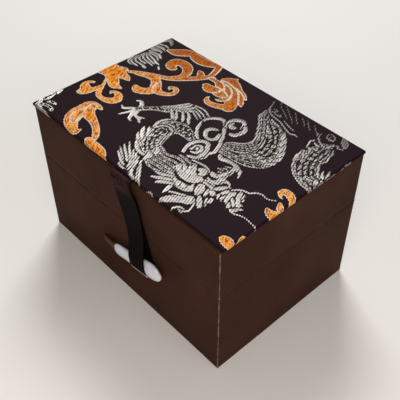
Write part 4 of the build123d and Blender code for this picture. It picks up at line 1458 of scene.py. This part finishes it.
# The gathered top is painted mauve: a painted sheen where the satin bends over the lid's edge
sheen_at_top = add_node(tree, "ShaderNodeAttribute", attribute_name="gathered").outputs["Fac"]
painted_sheen_tint = add_node(
    tree, "ShaderNodeValToRGB", {"Fac": yarns}, ramp=[(0.35, "#170d0d"), (0.65, "#412a2a")]
)
sheen_tinted = add_node(
    tree,
    "ShaderNodeMixRGB",
    {"Fac": sheen_at_top, "Color1": ribbon_tint, "Color2": painted_sheen_tint},
)
# Painted highlight: a pale line along the lower edge of the fold under the peg
fold_highlight_share = add_node(tree, "ShaderNodeAttribute", attribute_name="fold_highlight").outputs["Fac"]
folded = add_node(
    tree,
    "ShaderNodeMixRGB",
    {"Fac": fold_highlight_share, "Color1": sheen_tinted, "Color2": to_linear("#d2c6c3")},
)
yarn_bump = add_node(
    tree, "ShaderNodeBump", {"Height": yarns, "Strength": 0.35, "Distance": 0.06 * mm}
)
set_inputs(surface, {"Base Color": folded, "Normal": yarn_bump})
strap.data.materials.append(satin)
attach(strap, "lid")
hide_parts("clasp_strap")

# Tab
# A narrow strip of reddish brown cloth, glued into a slit in the front wall and into the
# slot in the peg's end, so that the peg can't be lost.
tab_line = [
    (-9.9, -0.9, -1.4), (-9.9, -0.9, -0.2), (-9.6, -0.9, 0.5), (-8.6, -0.8, 0.8),
    (-6.0, -0.5, 1.25), (-3.0, -0.2, 1.85), (-0.5, 0, 2.3), (1.2, 0, 2.4), (2.6, 0, 2.4),
]
tab_centres = [on_clasp(*point) for point in tab_line]
tab_widths = [2.9] * len(tab_line)
tab = ribbon("cloth_tab", tab_centres, tab_widths, [up_across] * len(tab_line), 0.5 * mm)
tab_cloth, tree, surface = start_material(
    "reddish brown cloth", "#53302a", Roughness=0.8, Specular_IOR_Level=0.1
)
place = add_node(tree, "ShaderNodeTexCoord").outputs["Object"]
# A rough weave of 0.9 mm
tab_weave = add_node(tree, "ShaderNodeTexNoise", {"Vector": place, "Scale": 1100, "Detail": 3})
tab_tint = add_node(
    tree, "ShaderNodeValToRGB", {"Fac": tab_weave}, ramp=[(0.3, "#43241c"), (0.7, "#6c4238")]
)
tab_bump = add_node(
    tree, "ShaderNodeBump", {"Height": tab_weave, "Strength": 0.4, "Distance": 0.08 * mm}
)
set_inputs(surface, {"Base Color": tab_tint, "Normal": tab_bump})
tab.data.materials.append(tab_cloth)
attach(tab, "peg")
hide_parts("clasp_tab")

# Peg
# Carved and polished white bone, flat and rounded like a long bean, with a slot in its
# left end. Bone is slightly translucent and has faint streaks along its length.
bone, tree, surface = start_material(
    "polished white bone",
    "#e6e5e4",
    Roughness=0.24,
    Subsurface_Weight=0.3,
    Subsurface_Scale=0.8 * mm,
    Coat_Weight=0.25,
    Coat_Roughness=0.12,
)
place = add_node(tree, "ShaderNodeTexCoord").outputs["Object"]
# Streaks 11 mm long and 4 mm wide
drawn_out = add_node(tree, "ShaderNodeMapping", {"Vector": place, "Scale": (0.35, 1, 1)})
streaks = add_node(
    tree,
    "ShaderNodeTexNoise",
    {"Vector": drawn_out, "Scale": 260, "Detail": 4, "Distortion": 0.6},
)
bone_tint = add_node(
    tree, "ShaderNodeValToRGB", {"Fac": streaks}, ramp=[(0.3, "#bfc1c9"), (0.65, "#e3e4e8")]
)
set_inputs(surface, {"Base Color": bone_tint, "Subsurface Radius": (1.0, 0.85, 0.7)})
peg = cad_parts["clasp_peg"]
peg.data.materials.clear()
peg.data.materials.append(bone)
